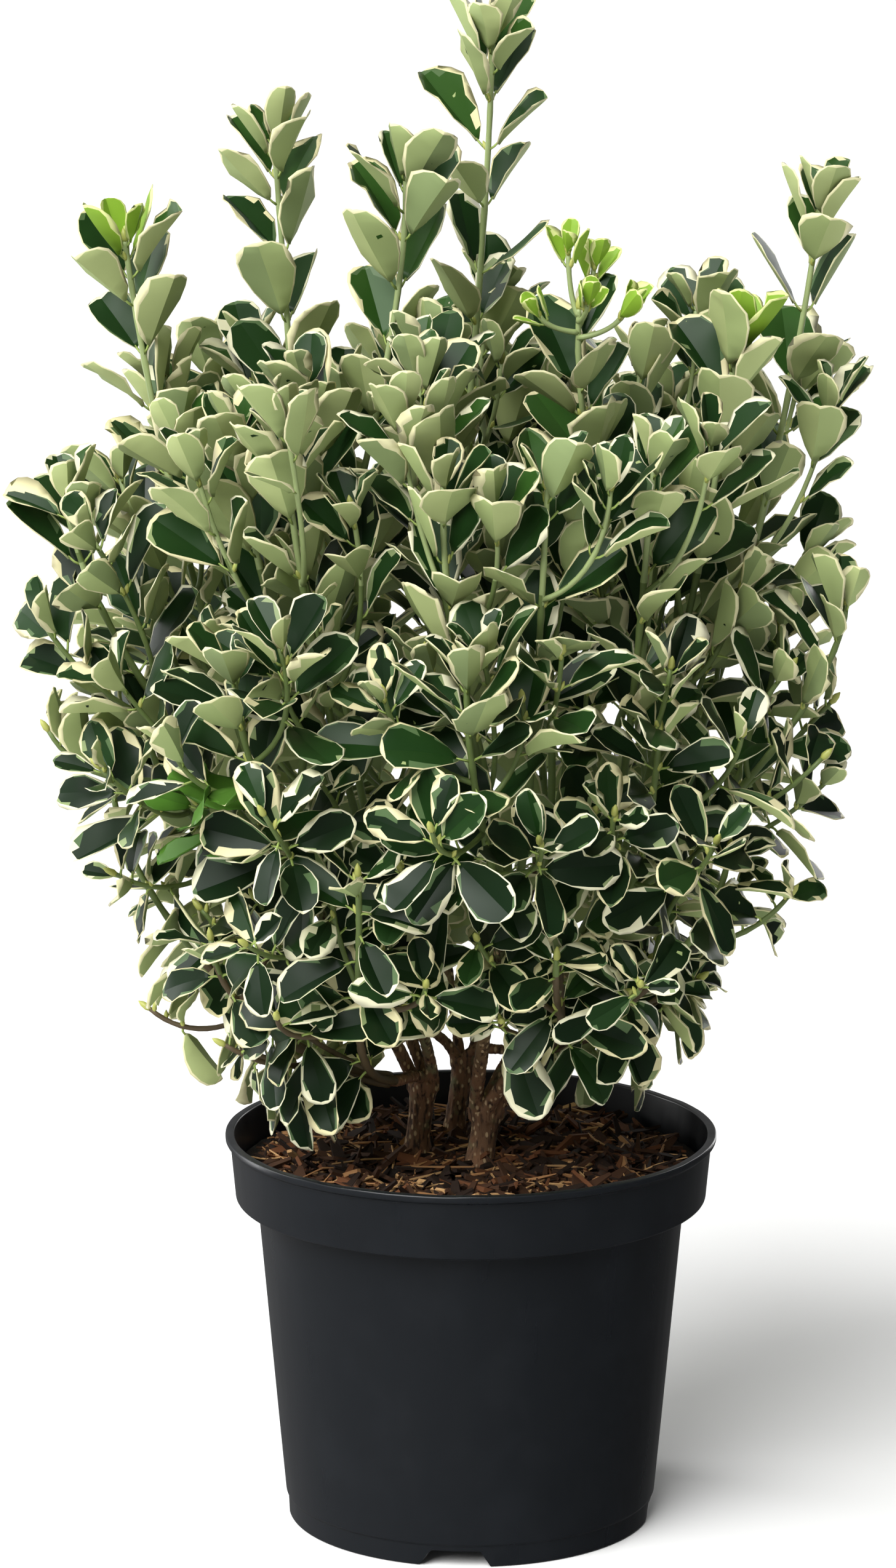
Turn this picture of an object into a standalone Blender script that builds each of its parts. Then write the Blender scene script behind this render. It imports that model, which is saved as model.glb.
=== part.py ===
"""A potted japanese spindle: a young evergreen shrub with upright, pale-edged shoots in a nursery pot.

Metres, +Z up. The origin is on the ground at the pot's axis, and -Y is the side that faces the viewer.
Three trunks rise from the compost and fork into boughs, and each bough carries a few masses of foliage.
A mass is one stem with side twigs and leaves in crossed pairs, all inside the space that lies nearer to
its own stem than to any other.
"""

import itertools
import math

import bmesh
import bpy
import numpy as np
from mathutils.bvhtree import BVHTree

TAU = 2 * math.pi
UP = np.array([0.0, 0.0, 1.0])
SEED = 10
GAP = 0.0003  # left between two pieces that touch
FORK_GAP = 1.5 * GAP  # between a limb and those that leave its tip
COMPOST_GAP = 1.4 * GAP  # between the compost and the pot's wall, whose corners don't stand in line

# Pot
POT_SIDES = 44
SHARP_ANGLE = math.radians(35)
POT_HEIGHT = 0.225
RIM_RADIUS = 0.140
LIP_HEIGHT = 0.004
LIP_SLOPE = 0.0015  # how far below the lip the collar starts to widen to it
COLLAR_TOP_RADIUS = 0.1372
COLLAR_LOW_RADIUS = 0.1342
COLLAR_HEIGHT = 0.0375
BODY_TOP_RADIUS = 0.1217
BODY_LOW_RADIUS = 0.1062
WALL = 0.0022
STEP_DROP = 0.0035  # how far the wall falls where the collar steps in to the body
FOOT_RADIUS = 0.1046
FOOT_HEIGHT = 0.012
FOOT_WIDTH = 0.010
FOOT_TAPER = 0.0004  # how much wider the foot is at its top
FOOT_LEDGE = 0.0012  # the rise from the foot's top to the wall
FLOOR_UNDER = 0.0095
FLOOR_THICK = 0.003
BOSS_RADIUS = 0.012
NOTCHES = 4
NOTCH_TURN = math.radians(-94.9)
NOTCH_TOP_WIDTH = 0.0285
NOTCH_LOW_WIDTH = 0.040
NOTCH_HEIGHT = 0.0092
NOTCH_BELOW = 0.004  # how far the tool that cuts a notch reaches below the foot

# Compost
COMPOST_SIDES = 28
SOIL_Z = 0.2085
SOIL_EDGE_Z = 0.2050
SOIL_FLAT_RADIUS = 0.075

# Trunks: where each stands, where it forks, and its radius
TRUNKS = {
    "trunk_right": {"foot": (0.0055, -0.0150), "fork": (0.0090, -0.0120, 0.2400), "radius": 0.0070},
    "trunk_left": {"foot": (-0.0305, 0.0080), "fork": (-0.0270, 0.0070, 0.2520), "radius": 0.0064},
    "trunk_rear": {"foot": (-0.0090, 0.0480), "fork": (-0.0040, 0.0500, 0.2560), "radius": 0.0054},
}
TRUNK_SIDES = 9
TRUNK_STEPS = 5
ROOT_FLARE = 1.45
FLARE_FADE = 6  # how fast the flare is lost up the trunk
FORK_SWELL = 1.40

# Boughs: which trunk carries each bough of a ring, and where the ring's tips stand
RINGS = {
    "high": {
        "carriers": ("trunk_right",) * 3 + ("trunk_rear",) * 2 + ("trunk_left",) * 3,
        "turn": math.radians(-78), "reach": 0.088, "height": 0.365, "lean": math.radians(24),
    },
    "low": {
        "carriers": ("trunk_right", "trunk_rear", "trunk_rear", "trunk_left"),
        "turn": math.radians(-52), "reach": 0.066, "height": 0.276, "lean": math.radians(62),
    },
}
BOUGH_SIDES = 6
BOUGH_STEPS = 6
BOUGH_SPREAD = 0.40  # how far a bough leans out of the fork, as a slope
BOUGH_TAPER = 0.80
BOUGH_SHARE = 0.54  # a bough's radius at its foot, as a share of its trunk's radius
BOUGH_LEAVE = 0.8  # how strongly a bough keeps its first direction
STAGGER, STAGGER_Z = 0.10, 0.012  # every other bough's tip stands this share further out, and higher
LIMB_ARRIVE = 0.9  # how strongly a bough or stem takes up its last direction

# Leading shoots that stand out against the sky, as the places of their stems' tips
LEADERS = (
    (-0.192, 0.020, 0.728),
    (-0.110, 0.045, 0.782),
    (0.012, 0.055, 0.839),
    (-0.036, -0.015, 0.768),
    (0.058, -0.065, 0.700),
    (0.146, -0.030, 0.682),
    (0.196, 0.050, 0.748),
    (-0.222, -0.045, 0.592),
    (0.206, -0.050, 0.535),
)
# Foliage masses: the ring that carries each kind, its stems' lean, and how its twigs grow
CROWN_CENTRE = (-0.016, 0.0)
CROWN_SPOTS = 60
CROWN_RADIUS = 0.184
CROWN_TOP_Z = 0.640
CROWN_FALL = 0.060
CROWN_JITTER = 0.020
SHOOT_SPACING = 0.052
KINDS = {
    "crown": {
        "ring": "high", "lean": 7, "spread": 0.8, "leave": 0.55, "bare": 0.22,
        "twigs": 1, "twig_reach": 0.024, "twig_rise": 0.070, "pair_spacing": 0.020,
    },
    "middle": {
        "ring": "high", "lean": 6, "spread": 3.2, "leave": 1.1, "bare": 0.08,
        "twigs": 2, "twig_reach": 0.030, "twig_rise": 0.045, "pair_spacing": 0.0135,
        "count": 9, "turn": math.radians(-86), "reach": 0.178, "height": 0.490,
    },
    "skirt": {
        "ring": "low", "lean": 8, "spread": 0.6, "leave": 0.9, "bare": 0.04,
        "twigs": 2, "twig_reach": 0.030, "twig_rise": 0.040, "pair_spacing": 0.0135,
        "count": 10, "turn": math.radians(-104), "reach": 0.174, "height": 0.385,
    },
}
RING_RISE, RING_JITTER = 0.028, 0.012  # how far the heights of a ring's tips differ, in turn and by chance
RING_STAGGER = 0.010  # every other tip of a ring stands this much further out
TIP_PER_BOUGH = 1.9  # how many times further out a bough's masses end than the bough itself
FULL_LEAN_REACH = 0.15  # from here outwards a stem has its kind's full lean
OUTLINE_Z = (0.235, 0.300, 0.340, 0.400, 0.620, 0.870)  # the crown's greatest reach at these heights
OUTLINE_REACH = (0.122, 0.162, 0.210, 0.238, 0.248, 0.250)
STEM_RADIUS = 0.0019
STEM_TIP_RADIUS = 0.0011
STEM_STEPS = 5
STEM_SAMPLES = 24  # points along a stem from which distances are taken
STEM_SPREAD = 0.0048  # between the stems that leave one bough's tip
STEM_BENDS = (1.0, 0.75, 1.3, 0.55, 1.6)  # how strongly a stem keeps its first direction, tried in turn
TWIG_RADIUS = 0.0014
TWIG_STEPS = 2
TWIG_FIRST, TWIG_LAST = 0.24, 0.62  # shares of the stem's length between which twigs stand
TWIG_TURN = 0.38 * TAU  # from one twig to the next, round the stem
TWIG_BARE = 0.25
LAST_PAIR = 0.97  # the share of a stem's length at which its last leaves stand
PAIR_CHANCE = 0.01  # by how much of that length a pair can stand lower than its place

# Leaves, fewer and larger than life
LEAF_LENGTH = 0.064
LEAF_SIZE_Z, LEAF_SIZE = (0.29, 0.60, 0.76), (1.14, 1.0, 0.80)  # a leaf's share of that length, by height
TWIG_LEAF_SCALE = 0.94
LEAF_SLIMNESS = 0.74
LEAF_WIDEST = 0.56
LEAF_THICK = 0.0009
LEAF_FOLD = 0.10
LEAF_FOOT = 0.16  # the share of the way to its middle that a leaf's foot takes
LEAF_FACES = ((0, 1, 2), (1, 0, 3), (0, 2, 4), (2, 1, 4), (1, 3, 4), (3, 0, 4))
# How much further in a leaf may stand to find room, and its share of the length then
LEAF_TRIES = ((0.0, 1.0), (0.25, 0.97), (-0.25, 0.94), (0.55, 0.90), (0.10, 0.80), (0.75, 0.78))
ERECT, SPREADING = math.radians(50), math.radians(96)
LEAST_ANGLE = math.radians(22)
TIP_CLOSING = math.radians(12)  # how much steeper the last leaves of a stem in the light stand
TURN_CHANCE, ANGLE_CHANCE, ROLL_CHANCE = 0.2, 0.16, 0.3  # by how much each leaf differs from the rule
LENGTH_CHANCE = (0.90, 1.08)
ERECT_Z, SPREADING_Z = 0.66, 0.29
CELL_CLEARANCE = 0.0005
LIMB_CLEARANCE = 0.0020
LOWEST_LEAF_Z = 0.232


def material(name, colour, roughness):
    """A plain Principled material with the part's colour and roughness."""
    made = bpy.data.materials.new(name)
    made.use_nodes = True
    shader = made.node_tree.nodes["Principled BSDF"]
    shader.inputs["Base Color"].default_value = (*colour, 1.0)
    shader.inputs["Roughness"].default_value = roughness
    shader.inputs["Metallic"].default_value = 0.0
    made.diffuse_color = (*colour, 1.0)
    return made


def object_from(bm, name, finish, collection=None):
    """Turns a bmesh into an object, in the scene's own collection unless another is given."""
    bmesh.ops.recalc_face_normals(bm, faces=bm.faces)
    mesh = bpy.data.meshes.new(name)
    bm.to_mesh(mesh)
    bm.free()
    mesh.materials.append(finish)
    made = bpy.data.objects.new(name, mesh)
    (collection or bpy.context.scene.collection).objects.link(made)
    return made


def turned(name, profile, sides, finish):
    """Spins a profile of (radius, height) points, whose ends lie on the axis, round Z."""
    bm = bmesh.new()
    corners = [bm.verts.new((radius, 0.0, height)) for radius, height in profile]
    edges = [bm.edges.new(pair) for pair in zip(corners, corners[1:])]
    bmesh.ops.spin(
        bm, geom=corners + edges, axis=(0, 0, 1), cent=(0, 0, 0), angle=TAU, steps=sides, use_merge=True
    )
    bmesh.ops.remove_doubles(bm, verts=bm.verts, dist=1e-6)
    made = object_from(bm, name, finish)
    made.data.shade_smooth()
    made.data.set_sharp_from_angle(angle=SHARP_ANGLE)
    return made


def inner_wall():
    """The inside of the pot, from its floor to its lip, as (radius, height) points."""
    collar_z = POT_HEIGHT - COLLAR_HEIGHT
    return [
        (BODY_LOW_RADIUS - WALL, FLOOR_UNDER + FLOOR_THICK),
        (BODY_TOP_RADIUS - WALL, collar_z - STEP_DROP + WALL),
        (COLLAR_LOW_RADIUS - WALL, collar_z + WALL),
        (COLLAR_TOP_RADIUS - WALL, POT_HEIGHT),
    ]


def make_pot(finish):
    """A thin tapering pot with a stepped collar, a small lip and a notched foot."""
    collar_z = POT_HEIGHT - COLLAR_HEIGHT
    profile = [
        (0.0, 0.0),
        (BOSS_RADIUS, 0.0),
        (BOSS_RADIUS, FLOOR_UNDER),
        (FOOT_RADIUS - FOOT_WIDTH, FLOOR_UNDER),
        (FOOT_RADIUS - FOOT_WIDTH, 0.0),
        (FOOT_RADIUS, 0.0),
        (FOOT_RADIUS + FOOT_TAPER, FOOT_HEIGHT),
        (BODY_LOW_RADIUS, FOOT_HEIGHT + FOOT_LEDGE),
        (BODY_TOP_RADIUS, collar_z - STEP_DROP),
        (COLLAR_LOW_RADIUS, collar_z),
        (COLLAR_TOP_RADIUS, POT_HEIGHT - LIP_HEIGHT - LIP_SLOPE),
        (RIM_RADIUS, POT_HEIGHT - LIP_HEIGHT),
        (RIM_RADIUS, POT_HEIGHT),
        *reversed(inner_wall()),
        (0.0, FLOOR_UNDER + FLOOR_THICK),
    ]
    pot = turned("pot", profile, POT_SIDES, finish)
    for k in range(NOTCHES):
        cut = pot.modifiers.new(f"notch_{k}", "BOOLEAN")
        cut.operation = "DIFFERENCE"
        cut.object = notch_cutter(k, finish)


def notch_cutter(k, finish):
    """A bar with the notch's sloping sides, laid across the foot ring."""
    low_width = NOTCH_LOW_WIDTH + (NOTCH_LOW_WIDTH - NOTCH_TOP_WIDTH) * NOTCH_BELOW / NOTCH_HEIGHT
    corners = (
        (-low_width / 2, -NOTCH_BELOW),
        (low_width / 2, -NOTCH_BELOW),
        (NOTCH_TOP_WIDTH / 2, NOTCH_HEIGHT),
        (-NOTCH_TOP_WIDTH / 2, NOTCH_HEIGHT),
    )
    bm = bmesh.new()
    ends = []
    for radius in (FOOT_RADIUS - 2 * FOOT_WIDTH, FOOT_RADIUS + FOOT_WIDTH):
        ends.append([bm.verts.new((radius, across, height)) for across, height in corners])
    bm.faces.new(ends[0])
    bm.faces.new(ends[1])
    for a in range(4):
        b = (a + 1) % 4
        bm.faces.new((ends[0][a], ends[0][b], ends[1][b], ends[1][a]))
    cutter = object_from(bm, f"notch_cutter_{k}", finish)
    cutter.rotation_euler.z = NOTCH_TURN + TAU * k / NOTCHES
    cutter.hide_render = True
    cutter.display_type = "WIRE"
    return cutter


def make_compost(finish):
    """The root ball and its mulch, which fill the pot to just under the lip."""
    low, shelf, collar, top = inner_wall()
    floor_z = low[1] + GAP
    share = (SOIL_EDGE_Z - collar[1]) / (top[1] - collar[1])
    edge_radius = collar[0] + share * (top[0] - collar[0]) - COMPOST_GAP
    profile = [
        (0.0, floor_z),
        (low[0] - COMPOST_GAP, floor_z),
        (shelf[0] - COMPOST_GAP, shelf[1] + COMPOST_GAP),
        (collar[0] - COMPOST_GAP, collar[1] + COMPOST_GAP),
        (edge_radius, SOIL_EDGE_Z),
        (SOIL_FLAT_RADIUS, SOIL_Z),
        (0.0, SOIL_Z),
    ]
    turned("compost", profile, COMPOST_SIDES, finish)


def unit(vector):
    return vector / np.linalg.norm(vector)


def spot(radius, turn, height):
    """The point at this distance and turn from the pot's axis, and this height."""
    return np.array([radius * math.cos(turn), radius * math.sin(turn), height])


def outward(place):
    """The level direction from the crown's centre line to a place."""
    return unit((place - (*CROWN_CENTRE, 0.0)) * (1, 1, 0))


def curve_between(start, leave, end, arrive, steps):
    """Points of the cubic that leaves start along one vector and reaches end along the other."""
    t = np.linspace(0, 1, steps + 1)[:, None]
    return (
        (2 * t**3 - 3 * t**2 + 1) * start
        + (t**3 - 2 * t**2 + t) * leave
        + (3 * t**2 - 2 * t**3) * end
        + (t**3 - t**2) * arrive
    )


def place_on(path, share):
    """The point and the direction at this share of a path's points, from its foot to its tip."""
    at = share * (len(path) - 1)
    low = min(int(at), len(path) - 2)
    return path[low] + (at - low) * (path[low + 1] - path[low]), unit(path[low + 1] - path[low])


def directions(path):
    """The direction of a path at each of its points."""
    ahead = np.gradient(path, axis=0)
    return ahead / np.linalg.norm(ahead, axis=1)[:, None]


def limb_rings(path, radii, sides, foot_faces, tip_faces):
    """Rings of points round a path. The first and last can face a given way, to meet a cut squarely."""
    rings = []
    heading = directions(path)
    heading[0] = heading[0] if foot_faces is None else foot_faces
    heading[-1] = heading[-1] if tip_faces is None else tip_faces
    side = unit(np.cross(heading[0], (0.31, 0.95, 0.05)))
    for centre, ahead, radius in zip(path, heading, radii):
        side = unit(side - np.dot(side, ahead) * ahead)
        other = np.cross(ahead, side)
        turn = np.arange(sides)[:, None] * TAU / sides
        rings.append(centre + radius * (np.cos(turn) * side + np.sin(turn) * other))
    return rings


def make_limb(name, path, radii, sides, finish, collection=None, foot_faces=None, tip_faces=None):
    """One tapering limb: rings along the path, joined side by side and capped at both ends."""
    bm = bmesh.new()
    found = limb_rings(path, radii, sides, foot_faces, tip_faces)
    rings = [[bm.verts.new(p) for p in ring] for ring in found]
    for low, high in zip(rings, rings[1:]):
        for a in range(sides):
            b = (a + 1) % sides
            bm.faces.new((low[a], low[b], high[b], high[a]))
    bm.faces.new(rings[0][::-1])
    bm.faces.new(rings[-1])
    return object_from(bm, name, finish, collection)


def fan_starts(tip, ahead, ends, spacing):
    """Feet for the limbs that leave one tip: on a ring across it, each on the side it grows towards."""
    count = len(ends)
    lift = tip + ahead * FORK_GAP
    if count == 1:
        return [lift]
    side = unit(np.cross(ahead, (0.0, 1.0, 0.0)))
    other = np.cross(ahead, side)
    turns = np.array([math.atan2((end - tip) @ other, (end - tip) @ side) for end in ends])
    order = np.argsort(turns)
    steps = np.arange(count) * TAU / count
    offset = np.angle(np.exp(1j * (turns[order] - steps)).sum())
    radius = spacing / (2 * math.sin(math.pi / count))
    starts = [None] * count
    for step, which in zip(steps, order):
        turn = step + offset
        starts[which] = lift + radius * (math.cos(turn) * side + math.sin(turn) * other)
    return starts


def trunk_path(trunk):
    """A trunk's centre line, from the flat cut at the soil to its fork."""
    foot = np.array([*trunk["foot"], SOIL_Z + GAP])
    fork = np.array(trunk["fork"])
    rise = (fork[2] - foot[2]) * UP
    return curve_between(foot, rise, fork, rise, TRUNK_STEPS)


def trunk_radii(trunk):
    """A trunk's radius at each point: wide at the roots, then slim, then swelling at the fork."""
    along = np.linspace(0, 1, TRUNK_STEPS + 1)
    flare = (ROOT_FLARE - 1) * np.exp(-FLARE_FADE * along)
    swell = (FORK_SWELL - 1) * along**4
    return trunk["radius"] * (1 + flare + swell)


def bough_plan():
    """Each bough's name, ring, trunk and tip."""
    plan = []
    for kind, ring in RINGS.items():
        for k, carrier in enumerate(ring["carriers"]):
            even = 1 - 2 * (k % 2)
            turn = ring["turn"] + TAU * k / len(ring["carriers"])
            tip = spot(ring["reach"] * (1 + STAGGER * even), turn, ring["height"] + STAGGER_Z * even)
            arrive = math.sin(ring["lean"]) * outward(tip) + math.cos(ring["lean"]) * UP
            name = f"bough_{kind}_{k + 1}"
            plan.append({"name": name, "ring": kind, "trunk": carrier, "tip": tip, "arrive": arrive})
    return plan


def bough_paths():
    """Each bough with its centre line, radii and the direction of its tip."""
    plan = bough_plan()
    for name, trunk in TRUNKS.items():
        own = [bough for bough in plan if bough["trunk"] == name]
        top = trunk_path(trunk)[-1]
        foot_radius = BOUGH_SHARE * trunk["radius"]
        starts = fan_starts(top, UP, [bough["tip"] for bough in own], 2 * foot_radius + 4 * GAP)
        for bough, start in zip(own, starts):
            tip = bough["tip"]
            length = np.linalg.norm(tip - start)
            leave = unit(UP + BOUGH_SPREAD * unit((tip - top) * (1, 1, 0)))
            arrive = LIMB_ARRIVE * length * bough["arrive"]
            bough["path"] = curve_between(start, BOUGH_LEAVE * length * leave, tip, arrive, BOUGH_STEPS)
            bough["radii"] = foot_radius * np.linspace(1, BOUGH_TAPER, BOUGH_STEPS + 1)
            bough["ahead"] = directions(bough["path"])[-1]
    return plan


def crown_tips():
    """Tips of the upper masses: the leaders, then a sunflower pattern that fills the room between them."""
    chance = np.random.default_rng(SEED)
    tips = [np.array(leader) for leader in LEADERS]
    golden = math.pi * (3 - math.sqrt(5))
    for k in range(CROWN_SPOTS):
        share = math.sqrt((k + 0.5) / CROWN_SPOTS)
        height = CROWN_TOP_Z - CROWN_FALL * share**3 + chance.uniform(-CROWN_JITTER, CROWN_JITTER)
        tip = spot(CROWN_RADIUS * share, golden * k, height) + (*CROWN_CENTRE, 0.0)
        apart = min(np.linalg.norm((tip - other)[:2]) for other in tips)
        if apart > SHOOT_SPACING:
            tips.append(tip)
    return tips


def ring_tips(kind):
    """Tips of the masses that stand in a ring round the crown, every other one further out and higher."""
    ring = KINDS[kind]
    chance = np.random.default_rng(SEED + ring["count"])
    tips = []
    for k in range(ring["count"]):
        even = 1 - 2 * (k % 2)
        height = ring["height"] + RING_RISE * even + chance.uniform(-RING_JITTER, RING_JITTER)
        turn = ring["turn"] + TAU * k / ring["count"]
        tips.append(spot(ring["reach"] + RING_STAGGER * even, turn, height) + (*CROWN_CENTRE, 0.0))
    return tips


def share_out(tips, boughs, most):
    """The bough that carries each tip: the nearest by plan with room, the furthest tips choosing first."""
    carried = {bough["name"]: 0 for bough in boughs}
    homes = {}
    for which in sorted(range(len(tips)), key=lambda k: -np.linalg.norm(tips[k][:2])):
        free = [bough for bough in boughs if carried[bough["name"]] < most]
        home = min(free, key=lambda b: np.linalg.norm((TIP_PER_BOUGH * b["tip"] - tips[which])[:2]))
        carried[home["name"]] += 1
        homes[which] = home["name"]
    return homes


def mass_plan(boughs):
    """Each mass with its name, kind, bough and stem's centre line."""
    found = []
    for kind, ring in KINDS.items():
        tips = crown_tips() if kind == "crown" else ring_tips(kind)
        own = [bough for bough in boughs if bough["ring"] == ring["ring"]]
        homes = share_out(tips, own, math.ceil(len(tips) / len(own)))
        for k, tip in enumerate(tips):
            found.append({"name": f"foliage_{kind}_{k + 1}", "kind": kind, "tip": tip, "home": homes[k]})
    shapes = []
    for bough in boughs:
        own = [mass for mass in found if mass["home"] == bough["name"]]
        starts = fan_starts(bough["tip"], bough["ahead"], [mass["tip"] for mass in own], STEM_SPREAD)
        for mass in own:
            mass["ahead"] = bough["ahead"]
        for mass, start in zip(own, clearest_order(own, starts)):
            for bend in STEM_BENDS:
                mass["path"] = stem_path(mass, start, bend)
                shape = limb_shape(mass["path"], STEM_RADIUS)
                if not any(shape.crosses(other) for other in shapes):
                    break
            shapes.append(shape)
    return found


def clearest_order(masses, starts):
    """The order of the feet that keeps the stems of one bough furthest from each other."""
    def least_gap(order):
        lines = [samples_along(stem_path(mass, start, 1.0)) for mass, start in zip(masses, order)]
        return min((nearest(a, b).min() for a, b in itertools.combinations(lines, 2)), default=1.0)

    return max(itertools.permutations(starts), key=least_gap)


def stem_path(mass, start, bend):
    """A mass's stem: off the bough in its own direction, then up, leaning out a little."""
    kind, tip = KINDS[mass["kind"]], mass["tip"]
    length = np.linalg.norm(tip - start)
    leave = unit(mass["ahead"] + kind["spread"] * (tip - start) * (1, 1, 0) / length)
    lean = math.radians(kind["lean"]) * min(1.0, np.linalg.norm(tip[:2]) / FULL_LEAN_REACH)
    arrive = LIMB_ARRIVE * length * (math.sin(lean) * outward(tip) + math.cos(lean) * UP)
    return curve_between(start, bend * kind["leave"] * length * leave, tip, arrive, STEM_STEPS)


def samples_along(path, first=0.0, last=1.0):
    """Evenly spaced points along a path, between two shares of its length."""
    at = np.linspace(first, last, STEM_SAMPLES) * (len(path) - 1)
    return np.stack([np.interp(at, np.arange(len(path)), path[:, k]) for k in range(3)], 1)


def nearest(points, line):
    """Each point's distance to the nearest point of a line."""
    return np.linalg.norm(points[:, None] - line[None], axis=2).min(1)


class Room:
    """The space a mass may use.

    It is nearer to the leafy part of its own stem than to that of any other, clear of every limb and of
    the bare feet of the other stems, and inside the crown.
    """

    def __init__(self, mass, plan, limbs):
        bare = [KINDS[other["kind"]]["bare"] for other in plan]
        others = [(other["path"], share) for other, share in zip(plan, bare) if other is not mass]
        self.own = samples_along(mass["path"], first=KINDS[mass["kind"]]["bare"])
        self.others = np.concatenate([samples_along(path, first=share) for path, share in others])
        self.limbs = [(samples_along(path), radius) for path, radius in limbs]
        self.limbs += [(samples_along(path, last=share), STEM_RADIUS) for path, share in others]

    def holds(self, points):
        reach = np.linalg.norm(points[:, :2] - CROWN_CENTRE, axis=1)
        most = np.interp(points[:, 2], OUTLINE_Z, OUTLINE_REACH)
        if points[:, 2].min() < LOWEST_LEAF_Z or (reach > most).any():
            return False
        if (nearest(points, self.own) + CELL_CLEARANCE > nearest(points, self.others)).any():
            return False
        return all((nearest(points, line) > radius + LIMB_CLEARANCE).all() for line, radius in self.limbs)


def crosswise(ahead, out):
    """Two directions square to a stem: one level, round the crown, and one square to that."""
    level = unit(np.cross(UP, out))
    level = unit(level - np.dot(level, ahead) * ahead)
    return level, np.cross(ahead, level)


def shade_at(height):
    """How shaded a height in the crown is, from 0 at the top to 1 at the foot."""
    return min(1.0, max(0.0, (ERECT_Z - height) / (ERECT_Z - SPREADING_Z)))


def leaf_angle(height, share):
    """How far a leaf stands off its stem: steeply up in the light, spreading low in the crown."""
    shade = shade_at(height)
    return ERECT + (SPREADING - ERECT) * shade - TIP_CLOSING * share**4 * (1 - shade)


def leaf_points(root, ahead, away, angle, length, roll):
    """Five points of a leaf: root, tip, both sides, and the top of its middle."""
    along = math.cos(angle) * ahead + math.sin(angle) * away
    face = math.sin(angle) * ahead - math.cos(angle) * away
    across = np.cross(along, face)
    face, across = (
        math.cos(roll) * face + math.sin(roll) * across,
        math.cos(roll) * across - math.sin(roll) * face,
    )
    half = LEAF_SLIMNESS * length / 2
    fold = LEAF_FOLD * length * face
    middle = root + LEAF_WIDEST * length * along
    return np.array([
        root,
        root + length * along,
        middle + half * across + fold,
        middle - half * across + fold,
        middle + LEAF_THICK * face,
    ])


def leaf_outline(points):
    """A leaf's tip and sides with the middles of its four edges, to test where it reaches."""
    root, tip, left, right = points[:4]
    edges = [(tip + left) / 2, (tip + right) / 2, (root + left) / 2, (root + right) / 2]
    return np.array([tip, left, right, *edges])


class Shape:
    """The faces and the box of a piece, to test what it crosses."""

    def __init__(self, points, faces):
        self.tree = BVHTree.FromPolygons(points.tolist(), faces)
        self.low, self.high = points.min(axis=0), points.max(axis=0)

    def crosses(self, other):
        if (self.low > other.high).any() or (other.low > self.high).any():
            return False
        return bool(self.tree.overlap(other.tree))


def limb_shape(path, radius):
    """A three-sided limb of one radius along a path."""
    rings = limb_rings(path, [radius] * len(path), 3, None, None)
    faces = [
        (3 * k + a, 3 * k + (a + 1) % 3, 3 * k + 3 + (a + 1) % 3, 3 * k + 3 + a)
        for k in range(len(path) - 1) for a in range(3)
    ]
    return Shape(np.concatenate(rings), faces)


def leaf_shape(points):
    """A leaf without the foot that stands in its stem."""
    clear = points.copy()
    clear[0] += LEAF_FOOT * (points[4] - points[0])
    return Shape(clear, LEAF_FACES)


def make_leaf(points, finish, collection):
    """A folded plate of six faces: two below that meet along its midrib, and four above."""
    bm = bmesh.new()
    corners = [bm.verts.new(p) for p in points]
    for face in LEAF_FACES:
        bm.faces.new([corners[k] for k in face])
    object_from(bm, "leaf", finish, collection)


def leaf_places(path, first, spacing, chance):
    """Shares of a stem's length at which its pairs of leaves stand, the last close to its tip."""
    length = np.linalg.norm(np.diff(path, axis=0), axis=1).sum()
    count = max(1, round(length * (LAST_PAIR - first) / spacing))
    return np.linspace(first, LAST_PAIR, count + 1)[1:] + chance.uniform(-PAIR_CHANCE, 0.0, count)


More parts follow.
